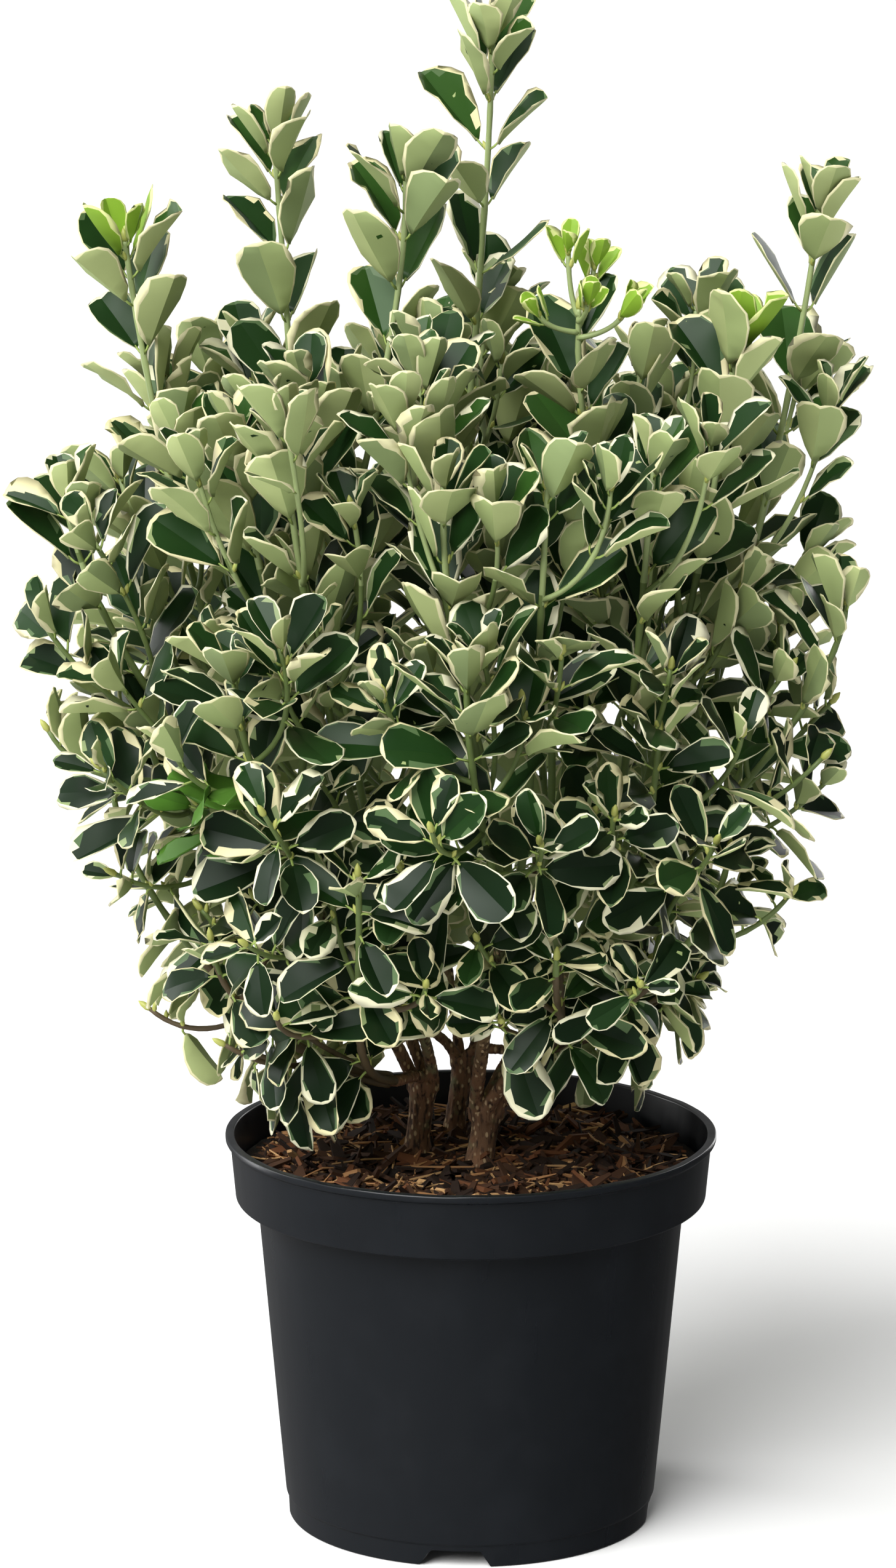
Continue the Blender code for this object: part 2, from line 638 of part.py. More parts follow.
class Growth:
    """The twigs and leaves of one mass while they grow, gathered in a collection of their own."""

    def __init__(self, mass, room, standing, index, wood, leaf_finish):
        self.kind = KINDS[mass["kind"]]
        self.out = outward(mass["tip"])
        self.room, self.standing = room, standing
        self.chance = np.random.default_rng((SEED, index))
        self.wood, self.leaf_finish = wood, leaf_finish
        self.parts = bpy.data.collections.new(f"{mass['name']}_parts")
        bpy.context.scene.collection.children.link(self.parts)
        twigs = self.grow_twigs(mass["path"])
        self.grow_leaves(mass["path"], STEM_RADIUS, self.kind["bare"], 1.0)
        for twig in twigs:
            self.grow_leaves(twig, TWIG_RADIUS, TWIG_BARE, TWIG_LEAF_SCALE)

    def fits(self, points, shape):
        """Whether a piece with these points keeps to the mass's space and crosses nothing that stands."""
        return self.room.holds(points) and not any(shape.crosses(other) for other in self.standing)

    def away_from(self, ahead, turn):
        """The direction square to a stem at this turn round it."""
        level, square = crosswise(ahead, self.out)
        return math.cos(turn) * level + math.sin(turn) * square

    def grow_twigs(self, path):
        """Side twigs up the stem, each out from it and then up beside it."""
        kind, chance = self.kind, self.chance
        spin = chance.uniform(0, TAU)
        t = np.linspace(0, 1, TWIG_STEPS + 1)[:, None]
        twigs = []
        for k, share in enumerate(np.linspace(TWIG_FIRST, TWIG_LAST, kind["twigs"])):
            centre, ahead = place_on(path, share)
            away = self.away_from(ahead, spin + k * TWIG_TURN)
            reach = kind["twig_reach"] * chance.uniform(0.85, 1.15)
            rise = kind["twig_rise"] * chance.uniform(0.8, 1.2)
            twig = centre + reach * (2 * t - t**2) * away + rise * (0.35 * t + 0.65 * t**1.6) * ahead
            if self.fits(twig[1:], limb_shape(twig[1:], TWIG_RADIUS)):
                thin = np.linspace(TWIG_RADIUS, STEM_TIP_RADIUS, len(twig))
                make_limb("twig", twig, thin, 3, self.wood, self.parts)
                self.standing.append(limb_shape(twig, TWIG_RADIUS))
                twigs.append(twig)
        return twigs

    def grow_leaves(self, path, radius, first, scale):
        """Pairs of leaves along a stem, each pair crossed with the last. One that doesn't fit is skipped."""
        chance = self.chance
        spin = chance.uniform(0, TAU)
        for pair, share in enumerate(leaf_places(path, first, self.kind["pair_spacing"], chance)):
            centre, ahead = place_on(path, share)
            for side in (0, 1):
                turn = spin + pair * TAU / 4 + side * TAU / 2 + chance.uniform(-TURN_CHANCE, TURN_CHANCE)
                away = self.away_from(ahead, turn)
                angle = leaf_angle(centre[2], share) + chance.uniform(-ANGLE_CHANCE, ANGLE_CHANCE)
                length = scale * LEAF_LENGTH * np.interp(centre[2], LEAF_SIZE_Z, LEAF_SIZE)
                length *= chance.uniform(*LENGTH_CHANCE)
                roll = chance.uniform(-ROLL_CHANCE, ROLL_CHANCE)
                self.try_leaf(centre + 0.2 * radius * away, ahead, away, angle, length, roll)

    def try_leaf(self, root, ahead, away, angle, length, roll):
        """Grows a leaf at the first of a few angles and sizes at which it fits, if there is one."""
        for turned_in, shrunk in LEAF_TRIES:
            stands = max(angle - turned_in, LEAST_ANGLE)
            points = leaf_points(root, ahead, away, stands, length * shrunk, roll)
            if self.fits(leaf_outline(points), leaf_shape(points)):
                make_leaf(points, self.leaf_finish, self.parts)
                self.standing.append(leaf_shape(points))
                return


def grow_mass(mass, room, standing, index, wood, leaf_finish):
    """One mass: its stem, the side twigs and the leaves, fused into a single body."""
    path = mass["path"]
    radii = np.linspace(STEM_RADIUS, STEM_TIP_RADIUS, len(path))
    stem = make_limb(mass["name"], path, radii, 3, wood, foot_faces=mass["ahead"])
    growth = Growth(mass, room, standing, index, wood, leaf_finish)
    fuse(stem, growth.parts)


def fuse(stem, parts):
    """Joins a collection to a stem with one Boolean union, applies it and removes the collection."""
    join = stem.modifiers.new("join", "BOOLEAN")
    join.operation = "UNION"
    join.operand_type = "COLLECTION"
    join.collection = parts
    graph = bpy.context.evaluated_depsgraph_get()
    fused = bpy.data.meshes.new_from_object(stem.evaluated_get(graph))
    stem.modifiers.clear()
    old, stem.data = stem.data, fused
    bpy.data.meshes.remove(old)
    for piece in list(parts.objects):
        mesh = piece.data
        bpy.data.objects.remove(piece)
        bpy.data.meshes.remove(mesh)
    bpy.data.collections.remove(parts)
    keep_largest(stem)


def keep_largest(stem):
    """Drops what fusing leaves inside or loose, so that one body is left."""
    bm = bmesh.new()
    bm.from_mesh(stem.data)
    seen, islands = set(), []
    for first in bm.verts:
        if first in seen:
            continue
        island, waiting = [], [first]
        seen.add(first)
        while waiting:
            vert = waiting.pop()
            island.append(vert)
            for edge in vert.link_edges:
                other = edge.other_vert(vert)
                if other not in seen:
                    seen.add(other)
                    waiting.append(other)
        islands.append(island)
    islands.sort(key=len, reverse=True)
    scraps = [vert for island in islands[1:] for vert in island]
    bmesh.ops.delete(bm, geom=scraps, context="VERTS")
    bm.to_mesh(stem.data)
    bm.free()


def clear_scene():
    for thing in list(bpy.data.objects):
        bpy.data.objects.remove(thing)


def main():
    clear_scene()
    plastic = material("black_plastic", (0.018, 0.020, 0.023), 0.38)
    mulch = material("bark_mulch", (0.055, 0.028, 0.014), 0.92)
    bark = material("brown_bark", (0.135, 0.085, 0.055), 0.85)
    leaf = material("pale_edged_leaf", (0.245, 0.320, 0.195), 0.45)
    make_pot(plastic)
    make_compost(mulch)
    limbs = []
    for name, trunk in TRUNKS.items():
        path, radii = trunk_path(trunk), trunk_radii(trunk)
        make_limb(name, path, radii, TRUNK_SIDES, bark, foot_faces=UP, tip_faces=UP)
        limbs.append((path, radii.max()))
    boughs = bough_paths()
    for bough in boughs:
        path, radii = bough["path"], bough["radii"]
        make_limb(bough["name"], path, radii, BOUGH_SIDES, bark, foot_faces=UP, tip_faces=bough["ahead"])
        limbs.append((path, radii[0]))
    plan = mass_plan(boughs)
    standing = [limb_shape(mass["path"], STEM_RADIUS) for mass in plan]
    for index, mass in enumerate(plan):
        grow_mass(mass, Room(mass, plan, limbs), standing, index, bark, leaf)


if __name__ == "__main__":
    main()
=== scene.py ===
"""Looks for a potted japanese spindle: pot, bark mulch, woody limbs, green shoots and pale-edged leaves.

Metres, +Z up, and -Y is the side that faces the viewer. The limbs follow the same rule as the solids, and
the leaves are grown on them at their real size.
"""

import functools
import itertools
import math

import bpy
import numpy as np
from mathutils import Matrix
from mathutils.bvhtree import BVHTree


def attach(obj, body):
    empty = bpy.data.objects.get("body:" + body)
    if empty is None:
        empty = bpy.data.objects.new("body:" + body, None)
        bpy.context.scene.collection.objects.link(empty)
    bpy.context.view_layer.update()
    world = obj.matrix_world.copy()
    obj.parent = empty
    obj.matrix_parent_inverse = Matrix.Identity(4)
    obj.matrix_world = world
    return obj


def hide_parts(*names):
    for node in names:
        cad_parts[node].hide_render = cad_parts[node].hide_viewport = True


bl_info = {
    "name": "Potted Japanese Spindle",
    "version": (1, 0, 0),
    "blender": (4, 5, 0),
    "location": "View3D > Sidebar > Spindle",
    "description": "Grows a pale-edged evergreen shrub in a nursery pot and lights it",
    "category": "Add Mesh",
}

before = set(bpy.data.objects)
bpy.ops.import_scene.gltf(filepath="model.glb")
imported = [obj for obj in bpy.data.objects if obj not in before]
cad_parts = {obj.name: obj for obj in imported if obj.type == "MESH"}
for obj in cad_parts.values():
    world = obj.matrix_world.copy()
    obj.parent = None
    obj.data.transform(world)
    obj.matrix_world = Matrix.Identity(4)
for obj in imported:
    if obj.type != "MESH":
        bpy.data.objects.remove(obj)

TAU = 2 * math.pi
UP = np.array([0.0, 0.0, 1.0])
SEED = 10
BODY = "root"

# Trunks: where each stands, where it forks, and its radius
TRUNKS = {
    "trunk_right": {"foot": (0.0055, -0.0150), "fork": (0.0090, -0.0120, 0.2400), "radius": 0.0070},
    "trunk_left": {"foot": (-0.0305, 0.0080), "fork": (-0.0270, 0.0070, 0.2520), "radius": 0.0064},
    "trunk_rear": {"foot": (-0.0090, 0.0480), "fork": (-0.0040, 0.0500, 0.2560), "radius": 0.0054},
}
SOIL_Z = 0.2085
ROOT_FLARE, FORK_SWELL = 1.45, 1.40
# Each ring of boughs: the trunks that carry them in turn, where the first one stands, and the tips' lean
RINGS = {
    "high": {
        "carriers": ("trunk_right",) * 3 + ("trunk_rear",) * 2 + ("trunk_left",) * 3,
        "turn": math.radians(-78), "reach": 0.088, "height": 0.365, "lean": math.radians(24),
    },
    "low": {
        "carriers": ("trunk_right", "trunk_rear", "trunk_rear", "trunk_left"),
        "turn": math.radians(-52), "reach": 0.066, "height": 0.276, "lean": math.radians(62),
    },
}
BOUGH_SPREAD, BOUGH_TAPER, BOUGH_SHARE, FOOT_LIFT = 0.40, 0.80, 0.54, 0.00045
# The gap between boughs at a fork, and how much further out and higher every other one reaches
BOUGH_GAP, BOUGH_FURTHER, BOUGH_HIGHER = 0.0012, 0.10, 0.012
# Tips of the leading shoots, which stand out against the sky
LEADERS = (
    (-0.192, 0.020, 0.728), (-0.110, 0.045, 0.782), (0.012, 0.055, 0.839), (-0.036, -0.015, 0.768),
    (0.058, -0.065, 0.700), (0.146, -0.030, 0.682), (0.196, 0.050, 0.748), (-0.222, -0.045, 0.592),
    (0.206, -0.050, 0.535),
)
FRESH_LEADER = 4
LIME_LEADERS = (0, 5)  # their tips carry a few fresh leaves
CROWN_CENTRE = (-0.016, 0.0, 0.0)
# The places tried for the other upper tips: how many, their spread, height, fall to the rim and unevenness
CROWN_SPOTS, CROWN_RADIUS, CROWN_TOP_Z, CROWN_FALL, CROWN_JITTER = 60, 0.184, 0.640, 0.060, 0.020
SHOOT_SPACING, STEM_SPREAD, STEM_TEST_RADIUS = 0.052, 0.0048, 0.0019
# Each kind of foliage mass: the boughs that carry it, how its stems lean, leave them and go on past the
# solids, where it stands, the stems' leafless share, their twigs, and the space between pairs of leaves
KINDS = {
    "crown": {
        "ring": "high", "lean": 7, "spread": 0.8, "leave": 0.55, "extra": 0.020,
        "bare": 0.36, "twigs": 5, "twig_reach": 0.031, "twig_rise": 0.090, "twig_bare": 0.40, "loose": 0.026,
    },
    "middle": {
        "ring": "high", "lean": 6, "spread": 3.2, "leave": 1.1, "extra": 0.008,
        "count": 9, "turn": math.radians(-86), "reach": 0.178, "height": 0.490,
        "bare": 0.25, "twigs": 7, "twig_reach": 0.042, "twig_rise": 0.062, "twig_bare": 0.36, "loose": 0.017,
    },
    "skirt": {
        "ring": "low", "lean": 8, "spread": 0.6, "leave": 0.9, "extra": 0.005,
        "count": 10, "turn": math.radians(-104), "reach": 0.174, "height": 0.385,
        "bare": 0.12, "twigs": 8, "twig_reach": 0.040, "twig_rise": 0.046, "twig_bare": 0.35, "loose": 0.017,
    },
}
LEADER_EXTRA, LEADER_LOOSE = 0.002, 0.034
# How far below a shoot's tip its crowded upper pairs stand, and how far the fresh side shoots rise
TIGHT, LEADER_TIGHT, FRESH_TIGHT = (0.003, 0.011, 0.022), (0.003, 0.010, 0.021, 0.036), (0.020, 0.046, 0.060)
FRESH_RISES = (0.034, 0.012, 0.030, 0.010, 0.020)
# How far leaves may reach from the crown's centre line, by height
OUTLINE_Z = (0.235, 0.260, 0.300, 0.340, 0.380, 0.620, 0.870)
OUTLINE_REACH = (0.126, 0.142, 0.168, 0.200, 0.228, 0.248, 0.252)
HOLLOW_Z, HOLLOW = (0.26, 0.42), (0.012, 0.042)  # how deep the hollows in the crown's surface are, by height
LOWEST_LEAF_Z = 0.223
# The opening in front of the trunks: its turn, half its width, its height at the axis and its rise outwards
OPENING_TURN, OPENING_HALF, OPENING_Z, OPENING_RISE = math.radians(-97), math.radians(20), 0.278, 0.20
STEM_BENDS = (1.0, 0.75, 1.3, 0.55, 1.6)  # tried in turn, until a stem crosses no other
FINE_STEPS = 44
TWIG_TURN = 0.38 * TAU  # from one side twig to the next
TWIG_AT = np.linspace(0, 1, 13)[:, None]
# How far a leaf stands off its stem at these heights, and its share of the full size
ANGLE_Z, ANGLE = (0.26, 0.32, 0.37, 0.44, 0.54, 0.64), np.radians((122, 110, 92, 66, 46, 37))
SIZE_Z, SIZE = (0.29, 0.60, 0.82), (0.93, 1.0, 1.0)
# Few leaves keep an angle this near to edge on, because they turn to the light
EDGE_ON, EDGE_ON_HALF = math.radians(87), math.radians(17)
# Ways to try a leaf that has no room: less angle, more turn, and share of its size
TRIES = (
    (0, 0, 1.0), (0.25, 0.3, 1.0), (-0.25, -0.3, 0.97),
    (0.45, 0.0, 0.93), (-0.1, 0.6, 0.9), (0.2, -0.6, 0.86),
)
LEAF_TEST_FACES = np.array((
    (0, 1, 3), (0, 5, 1), (1, 2, 3), (2, 4, 3), (1, 5, 2), (2, 5, 6), (2, 7, 4), (2, 6, 7),
))
# Where the odd leaves grow: a place and how far from it
PLAIN_SPOTS = ((-0.165, -0.115, 0.460, 0.030), (-0.124, -0.155, 0.442, 0.024), (-0.150, -0.120, 0.410, 0.026))
YELLOW_SPOTS = ((-0.094, -0.105, 0.335, 0.018), (0.080, -0.105, 0.366, 0.018))
BEND_Z, BEND = (0.40, 0.56), (0.65, 0.30)  # how far blades bend at most, in radians, by height
# A leaf's outline: shares of its length, shares of its full width there, and which rows stand proud
ROW_AT = np.array((0.0, 0.10, 0.27, 0.47, 0.67, 0.84, 0.95, 1.0))
ROW_WIDE = np.array((0.10, 0.46, 0.78, 0.97, 0.99, 0.80, 0.48, 0.14))
ROW_QUILT = np.array((0, 1, 0, 1, 0, 1, 0, 0))[:, None]
STALK_RADII, STALK_INSET = (0.0010, 0.0008, 0.0008), 0.0012
LEAVES_IN_A_PIECE = 900
# Places in the list of leaf finishes
DEEP, MID, LIGHT, SPLASH, PALE_SPLASH, CREAM, WARM_CREAM, PAINTED_LIT_SAGE, SAGE, GREY_SAGE, UNDER_CREAM = range(11)
STALK, LIME, LIME_EDGE, PLAIN, YELLOW = range(11, 16)
GLOSSY, MATT = (0.40, 0.22), (0.62, 0.22)  # roughness and specular level
LEAF_FINISHES = (
    ("leaf_deep_green", "deep", GLOSSY), ("leaf_mid_green", "mid", GLOSSY),
    ("leaf_light_green", "light", GLOSSY), ("leaf_grey_green", "splash", GLOSSY),
    ("leaf_pale_grey_green", "pale_splash", GLOSSY), ("leaf_cream", "cream", GLOSSY),
    ("leaf_warm_cream", "warm_cream", GLOSSY), ("leaf_underside_painted_lit_half", "painted_lit_sage", MATT),
    ("leaf_underside_sage", "sage", MATT), ("leaf_underside_grey", "grey_sage", MATT),
    ("leaf_underside_cream", "under_cream", MATT), ("leaf_stalk", "stalk_green", MATT),
    ("leaf_lime", "lime", GLOSSY), ("leaf_lime_edge", "lime_edge", GLOSSY),
    ("leaf_plain_green", "plain", GLOSSY), ("leaf_yellow", "yellow", MATT),
)
# Steps along a limb's bark, and how deep limbs and stems start inside what carries them
BARK_STEPS, LIMB_SUNK, STEM_SUNK = 24, 0.006, 0.004
# The pot: the boss under its middle, the foot's hollow and ring, the floor, and the slope under the collar
BOSS_RADIUS, HOLLOW_FOOT_Z, RING_WIDTH, FLOOR_Z, COLLAR_SLOPE = 0.012, 0.0095, 0.010, 0.0125, 0.0035
NOTCH_TURN, NOTCH_TOP = math.radians(-94.9), 0.0285
POT_SIDES, BED_SIDES, BED_RINGS = 240, 180, 46
BED_FLOOR, BED_WALL, BED_EDGE_Z = 0.0128, 0.0032, 0.2030  # just clear of the pot's inside


def srgb(red, green, blue):
    """A colour given as screen values from 0 to 255, in linear light."""
    shares = (value / 255 for value in (red, green, blue))
    return tuple(share / 12.92 if share < 0.0404 else ((share + 0.055) / 1.055) ** 2.4 for share in shares)


def number(name, description, default, **more):
    return bpy.props.FloatProperty(name=name, description=description, default=default, **more)


def metres(name, description, default):
    return number(name, description, default, min=0.0, unit="LENGTH", precision=4)


def amount(name, description, default):
    return bpy.props.IntProperty(name=name, description=description, default=default, min=0)


def tint(name, description, *screen):
    return bpy.props.FloatVectorProperty(
        name=name, description=description, default=srgb(*screen), size=3, min=0.0, max=1.0, subtype="COLOR"
    )


class PotSettings(bpy.types.PropertyGroup):
    """Sizes and colours of the nursery pot."""

    height: metres("Height", "From the ground to the top of the lip", 0.225)
    rim_radius: metres("Rim radius", "Outside radius of the lip", 0.140)
    lip_height: metres("Lip height", "Height of the lip", 0.004)
    collar_top: metres("Collar top radius", "Outside radius just under the lip", 0.1372)
    collar_low: metres("Collar low radius", "Outside radius at the collar's foot", 0.1342)
    collar_height: metres("Collar height", "From the collar's foot to the top", 0.0375)
    body_top: metres("Body top radius", "Outside radius under the collar", 0.1217)
    body_low: metres("Body low radius", "Outside radius above the foot", 0.1062)
    wall: metres("Wall", "Thickness of the wall", 0.0022)
    foot_radius: metres("Foot radius", "Outside radius of the foot ring", 0.1046)
    notch_height: metres("Notch height", "Height of the foot's notches", 0.0092)
    notch_width: metres("Notch width", "Width of a notch at its foot", 0.040)
    plastic: tint("Plastic", "Colour of the plastic", 20, 23, 27)
    scuff: tint("Scuffs", "Faint scuffs and dust", 38, 41, 46)


class MulchSettings(bpy.types.PropertyGroup):
    """Amounts and colours of the bark mulch."""

    chips: amount("Chips", "How many chips of bark", 2610)
    slivers: amount("Splinters", "How many pale splinters", 260)
    relief: metres("Relief", "How far the bed rises and falls", 0.0036)
    bed: tint("Bed", "Dark compost between the chips", 26, 16, 11)
    dark: tint("Dark bark", "Darkest chips", 38, 25, 17)
    brown: tint("Brown bark", "Most of the chips", 68, 44, 28)
    red: tint("Red bark", "Reddish chips", 106, 66, 40)
    tan: tint("Tan wood", "Lighter chips of wood", 164, 120, 78)
    straw: tint("Straw wood", "Palest splinters", 200, 158, 108)


class LimbSettings(bpy.types.PropertyGroup):
    """Relief and colours of the woody limbs."""

    skin: metres("Skin detail", "Spacing of the points on the bark", 0.0010)
    relief: metres("Bark relief", "Depth of the cracks in the bark", 0.0008)
    bark: tint("Bark", "Usual bark", 112, 82, 58)
    light: tint("Light bark", "Lighter patches of bark", 138, 98, 68)
    young: tint("Young bark", "Bark high up on the boughs", 104, 110, 72)
    crack: tint("Cracks", "Dark brown in the cracks", 60, 41, 29)
    lichen: tint("Grey-green", "Patches of grey-green", 116, 120, 84)
    speck: tint("Specks", "Pale raised specks", 196, 168, 128)


class ShootSettings(bpy.types.PropertyGroup):
    """Sizes and colours of the green shoots."""

    stem_radius: metres("Stem radius", "Radius of a shoot at its foot", 0.0025)
    tip_radius: metres("Tip radius", "Radius of a shoot at its tip", 0.0015)
    twig_radius: metres("Twig radius", "Radius of a side twig at its foot", 0.0017)
    sage: tint("Sage stem", "Young stems in the light", 148, 164, 108)
    green: tint("Green stem", "Stems within the crown", 98, 116, 62)
    brown: tint("Brown stem", "Stems low in the crown", 84, 70, 46)
    bud: tint("Buds", "Buds where leaves meet the stem", 172, 176, 92)


class LeafSettings(bpy.types.PropertyGroup):
    """Sizes and colours of the leaves."""

    length: metres("Leaf length", "Length of a full-grown blade", 0.0455)
    stalk: number("Stalk", "Stalk's share of the blade's length", 0.15, min=0.0)
    thickness: metres("Thickness", "Thickness of a blade at its middle", 0.0006)
    quilt: metres("Quilting", "How proud a blade stands between its side veins", 0.0004)
    edge: metres("Cream edge", "Usual width of the cream edge", 0.0014)
    flush: metres("Flush", "Greatest usual width of the uneven band inside the edge", 0.0040)
    # The three greens are dealt by height: partly the leaves' real age, partly painted shade below and
    # painted light above.
    deep: tint("Deep green", "Darkest upper faces", 16, 37, 15)
    mid: tint("Mid green", "Usual upper faces", 25, 54, 19)
    light: tint("Light green", "Upper faces in the light", 44, 78, 27)
    splash: tint("Grey-green", "Between green and cream", 82, 106, 68)
    pale_splash: tint("Pale grey-green", "Lighter, between green and cream", 136, 152, 104)
    cream: tint("Cream", "Edges of the upper faces", 232, 229, 196)
    warm_cream: tint("Warm cream", "Yellower edges", 226, 218, 172)
    # Painted light: the paler half of each underside, as if lit across the fold.
    painted_lit_sage: tint("Pale sage", "Lighter halves of undersides", 176, 189, 128)
    sage: tint("Sage", "Undersides", 160, 176, 116)
    grey_sage: tint("Grey sage", "Greyer undersides", 138, 155, 104)
    under_cream: tint("Under cream", "Edges of the undersides", 226, 222, 176)
    stalk_green: tint("Stalks", "Leaf stalks", 150, 170, 92)
    lime: tint("Lime", "Fresh leaves", 132, 170, 52)
    lime_edge: tint("Fresh edge", "Edges of the fresh leaves", 218, 226, 150)
    plain: tint("Plain green", "The few leaves without a pale edge", 74, 116, 40)
    yellow: tint("Yellow", "The few leaves about to fall", 190, 176, 48)


class StageSettings(bpy.types.PropertyGroup):
    """Floor, light and camera."""

    floor: tint("Floor", "Colour of the floor", 249, 249, 248)
    floor_reach: metres("Floor reach", "Half the floor's side", 90.0)
    sky: number("Sky", "Strength of the light from all round", 0.21, min=0.0)
    sky_left: number("Sky left", "Its share at the far left", 2.0, min=0.0)
    sky_right: number("Sky right", "Its share at the far right", 0.40, min=0.0)
    sky_low: number("Sky low", "Its share below the horizon", 0.60, min=0.0)
    key: number("Key lamp", "Strength of the main lamp", 4.5, min=0.0)
    key_spread: number("Key spread", "Width of the main lamp as seen", math.radians(48), subtype="ANGLE")
    left: number("Left lamp", "Power of the left lamp", 9.0, unit="POWER")
    right: number("Right lamp", "Power of the right lamp", 5.0, unit="POWER")
    distance: metres("Distance", "From the camera to the pot's axis, by plan", 3.0)
    eye: metres("Eye height", "Height of the camera", 1.0345)
    look: metres("Look height", "Height of the middle of the picture", 0.4263)
    across: number("Across", "How far the camera stands to the right", -0.0128, unit="LENGTH")
    lens: number("Lens", "Focal length on a 36 mm frame", 124.76, min=1.0)


# Small helpers

def unit(vector):
    return vector / np.linalg.norm(vector, axis=-1, keepdims=True)


def spot(radius, turn, height):
    """The point at this distance and turn from the pot's axis, and this height."""
    return np.array([radius * math.cos(turn), radius * math.sin(turn), height])


def outward(place):
    """The level direction from the crown's centre line to a place."""
    return unit((place - CROWN_CENTRE) * (1, 1, 0))


def curve_between(start, leave, end, arrive, steps):
    """Points of the cubic that leaves start along one vector and reaches end along the other."""
    t = np.linspace(0, 1, steps + 1)[:, None]
    return (
        (2 * t**3 - 3 * t**2 + 1) * start + (t**3 - 2 * t**2 + t) * leave
        + (3 * t**2 - 2 * t**3) * end + (t**3 - t**2) * arrive
    )


def directions(path):
    """The direction of a path at each of its points; paths can be stacked."""
    return unit(np.gradient(path, axis=-2))


def lengths_along(path):
    """The length of a path up to each of its points."""
    return np.concatenate([[0], np.cumsum(np.linalg.norm(np.diff(path, axis=0), axis=1))])


def lattice_noise(points, seed):
    """Smooth noise from -1 to 1: hashed numbers on a unit lattice, blended with smoothstep weights."""
    cell = np.floor(points).astype(np.int64)
    part = points - cell
    part = part * part * (3 - 2 * part)
    total = np.zeros(points.shape[:-1])
    for corner in itertools.product((0, 1), repeat=3):
        code = ((cell + corner) * (374761393, 668265263, 1440670441)).sum(-1) + seed * 974711 & 0xFFFFFFFF
        code = ((code ^ (code >> 13)) * 1274126177) & 0xFFFFFFFF
        value = ((code ^ (code >> 16)) & 0xFFFF) / 65535
        total += np.prod(np.where(corner, part, 1 - part), axis=-1) * value
    return 2 * total - 1


def piece_from(name, points, groups, finishes, nodes=(), smooth=True):
    """Makes a piece from points and groups of (faces, finish of each face), and hides the model's parts it
    stands for.

    A group's faces all have the same number of corners. The piece rides on the plant's one body.
    """
    sizes = np.concatenate([np.full(len(faces), faces.shape[1]) for faces, _ in groups])
    corners = np.concatenate([faces.reshape(-1) for faces, _ in groups])
    mesh = bpy.data.meshes.new(name)
    mesh.vertices.add(len(points))
    mesh.vertices.foreach_set("co", points.astype(np.float32).reshape(-1))
    mesh.loops.add(len(corners))
    mesh.loops.foreach_set("vertex_index", corners.astype(np.int32))
    mesh.polygons.add(len(sizes))
    mesh.polygons.foreach_set("loop_start", (np.cumsum(sizes) - sizes).astype(np.int32))
    for finish in finishes:
        mesh.materials.append(finish)
    worn = np.concatenate([np.broadcast_to(which, len(faces)) for faces, which in groups])
    mesh.polygons.foreach_set("material_index", worn.astype(np.int32))
    mesh.update(calc_edges=True)
    if smooth:
        mesh.shade_smooth()
    else:
        mesh.shade_flat()
    piece = bpy.data.objects.new(name, mesh)
    bpy.context.scene.collection.objects.link(piece)
    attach(piece, BODY)
    if nodes:
        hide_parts(*nodes)
    return piece


def tube_faces(count, rows, columns):
    """Quads of the walls, and the ends, of closed tubes whose points lie in rows, one tube after another."""
    row, column = np.meshgrid(np.arange(rows - 1) * columns, np.arange(columns), indexing="ij")
    after = (column + 1) % columns
    quads = np.stack([row + column, row + after, row + columns + after, row + columns + column], -1)
    first = np.arange(count)[:, None] * rows * columns
    low, high = np.arange(columns)[::-1], (rows - 1) * columns + np.arange(columns)
    walls = (first[..., None] + quads.reshape(-1, 4)).reshape(-1, 4)
    return walls, np.concatenate([first + low, first + high])


def tubes(paths, radii, sides):
    """Points and faces of closed tubes round stacked paths of the same number of points.

    Each ring is the circle square to the path, in a frame carried along it without twisting.
    """
    count, rings = radii.shape
    heading = directions(paths)
    side = unit(np.cross(heading[:, 0], (0.31, 0.95, 0.05)))
    turn = (np.arange(sides) * TAU / sides)[:, None]
    found = np.empty((count, rings, sides, 3))
    for k in range(rings):
        side = unit(side - (side * heading[:, k]).sum(-1, keepdims=True) * heading[:, k])
        other = np.cross(heading[:, k], side)
        ring = np.cos(turn) * side[:, None] + np.sin(turn) * other[:, None]
        found[:, k] = paths[:, None, k] + radii[:, k, None, None] * ring
    return found.reshape(-1, 3), *tube_faces(count, rings, sides)


def plain_finish(name, colour, roughness, specular=0.5):
    """A finish of one colour, for faces whose colour has its own place."""
    made = bpy.data.materials.new(name)
    made.use_nodes = True
    sockets = made.node_tree.nodes["Principled BSDF"].inputs
    sockets["Base Color"].default_value = made.diffuse_color = (*colour, 1.0)
    sockets["Roughness"].default_value = roughness
    sockets["Specular IOR Level"].default_value = specular
    return made


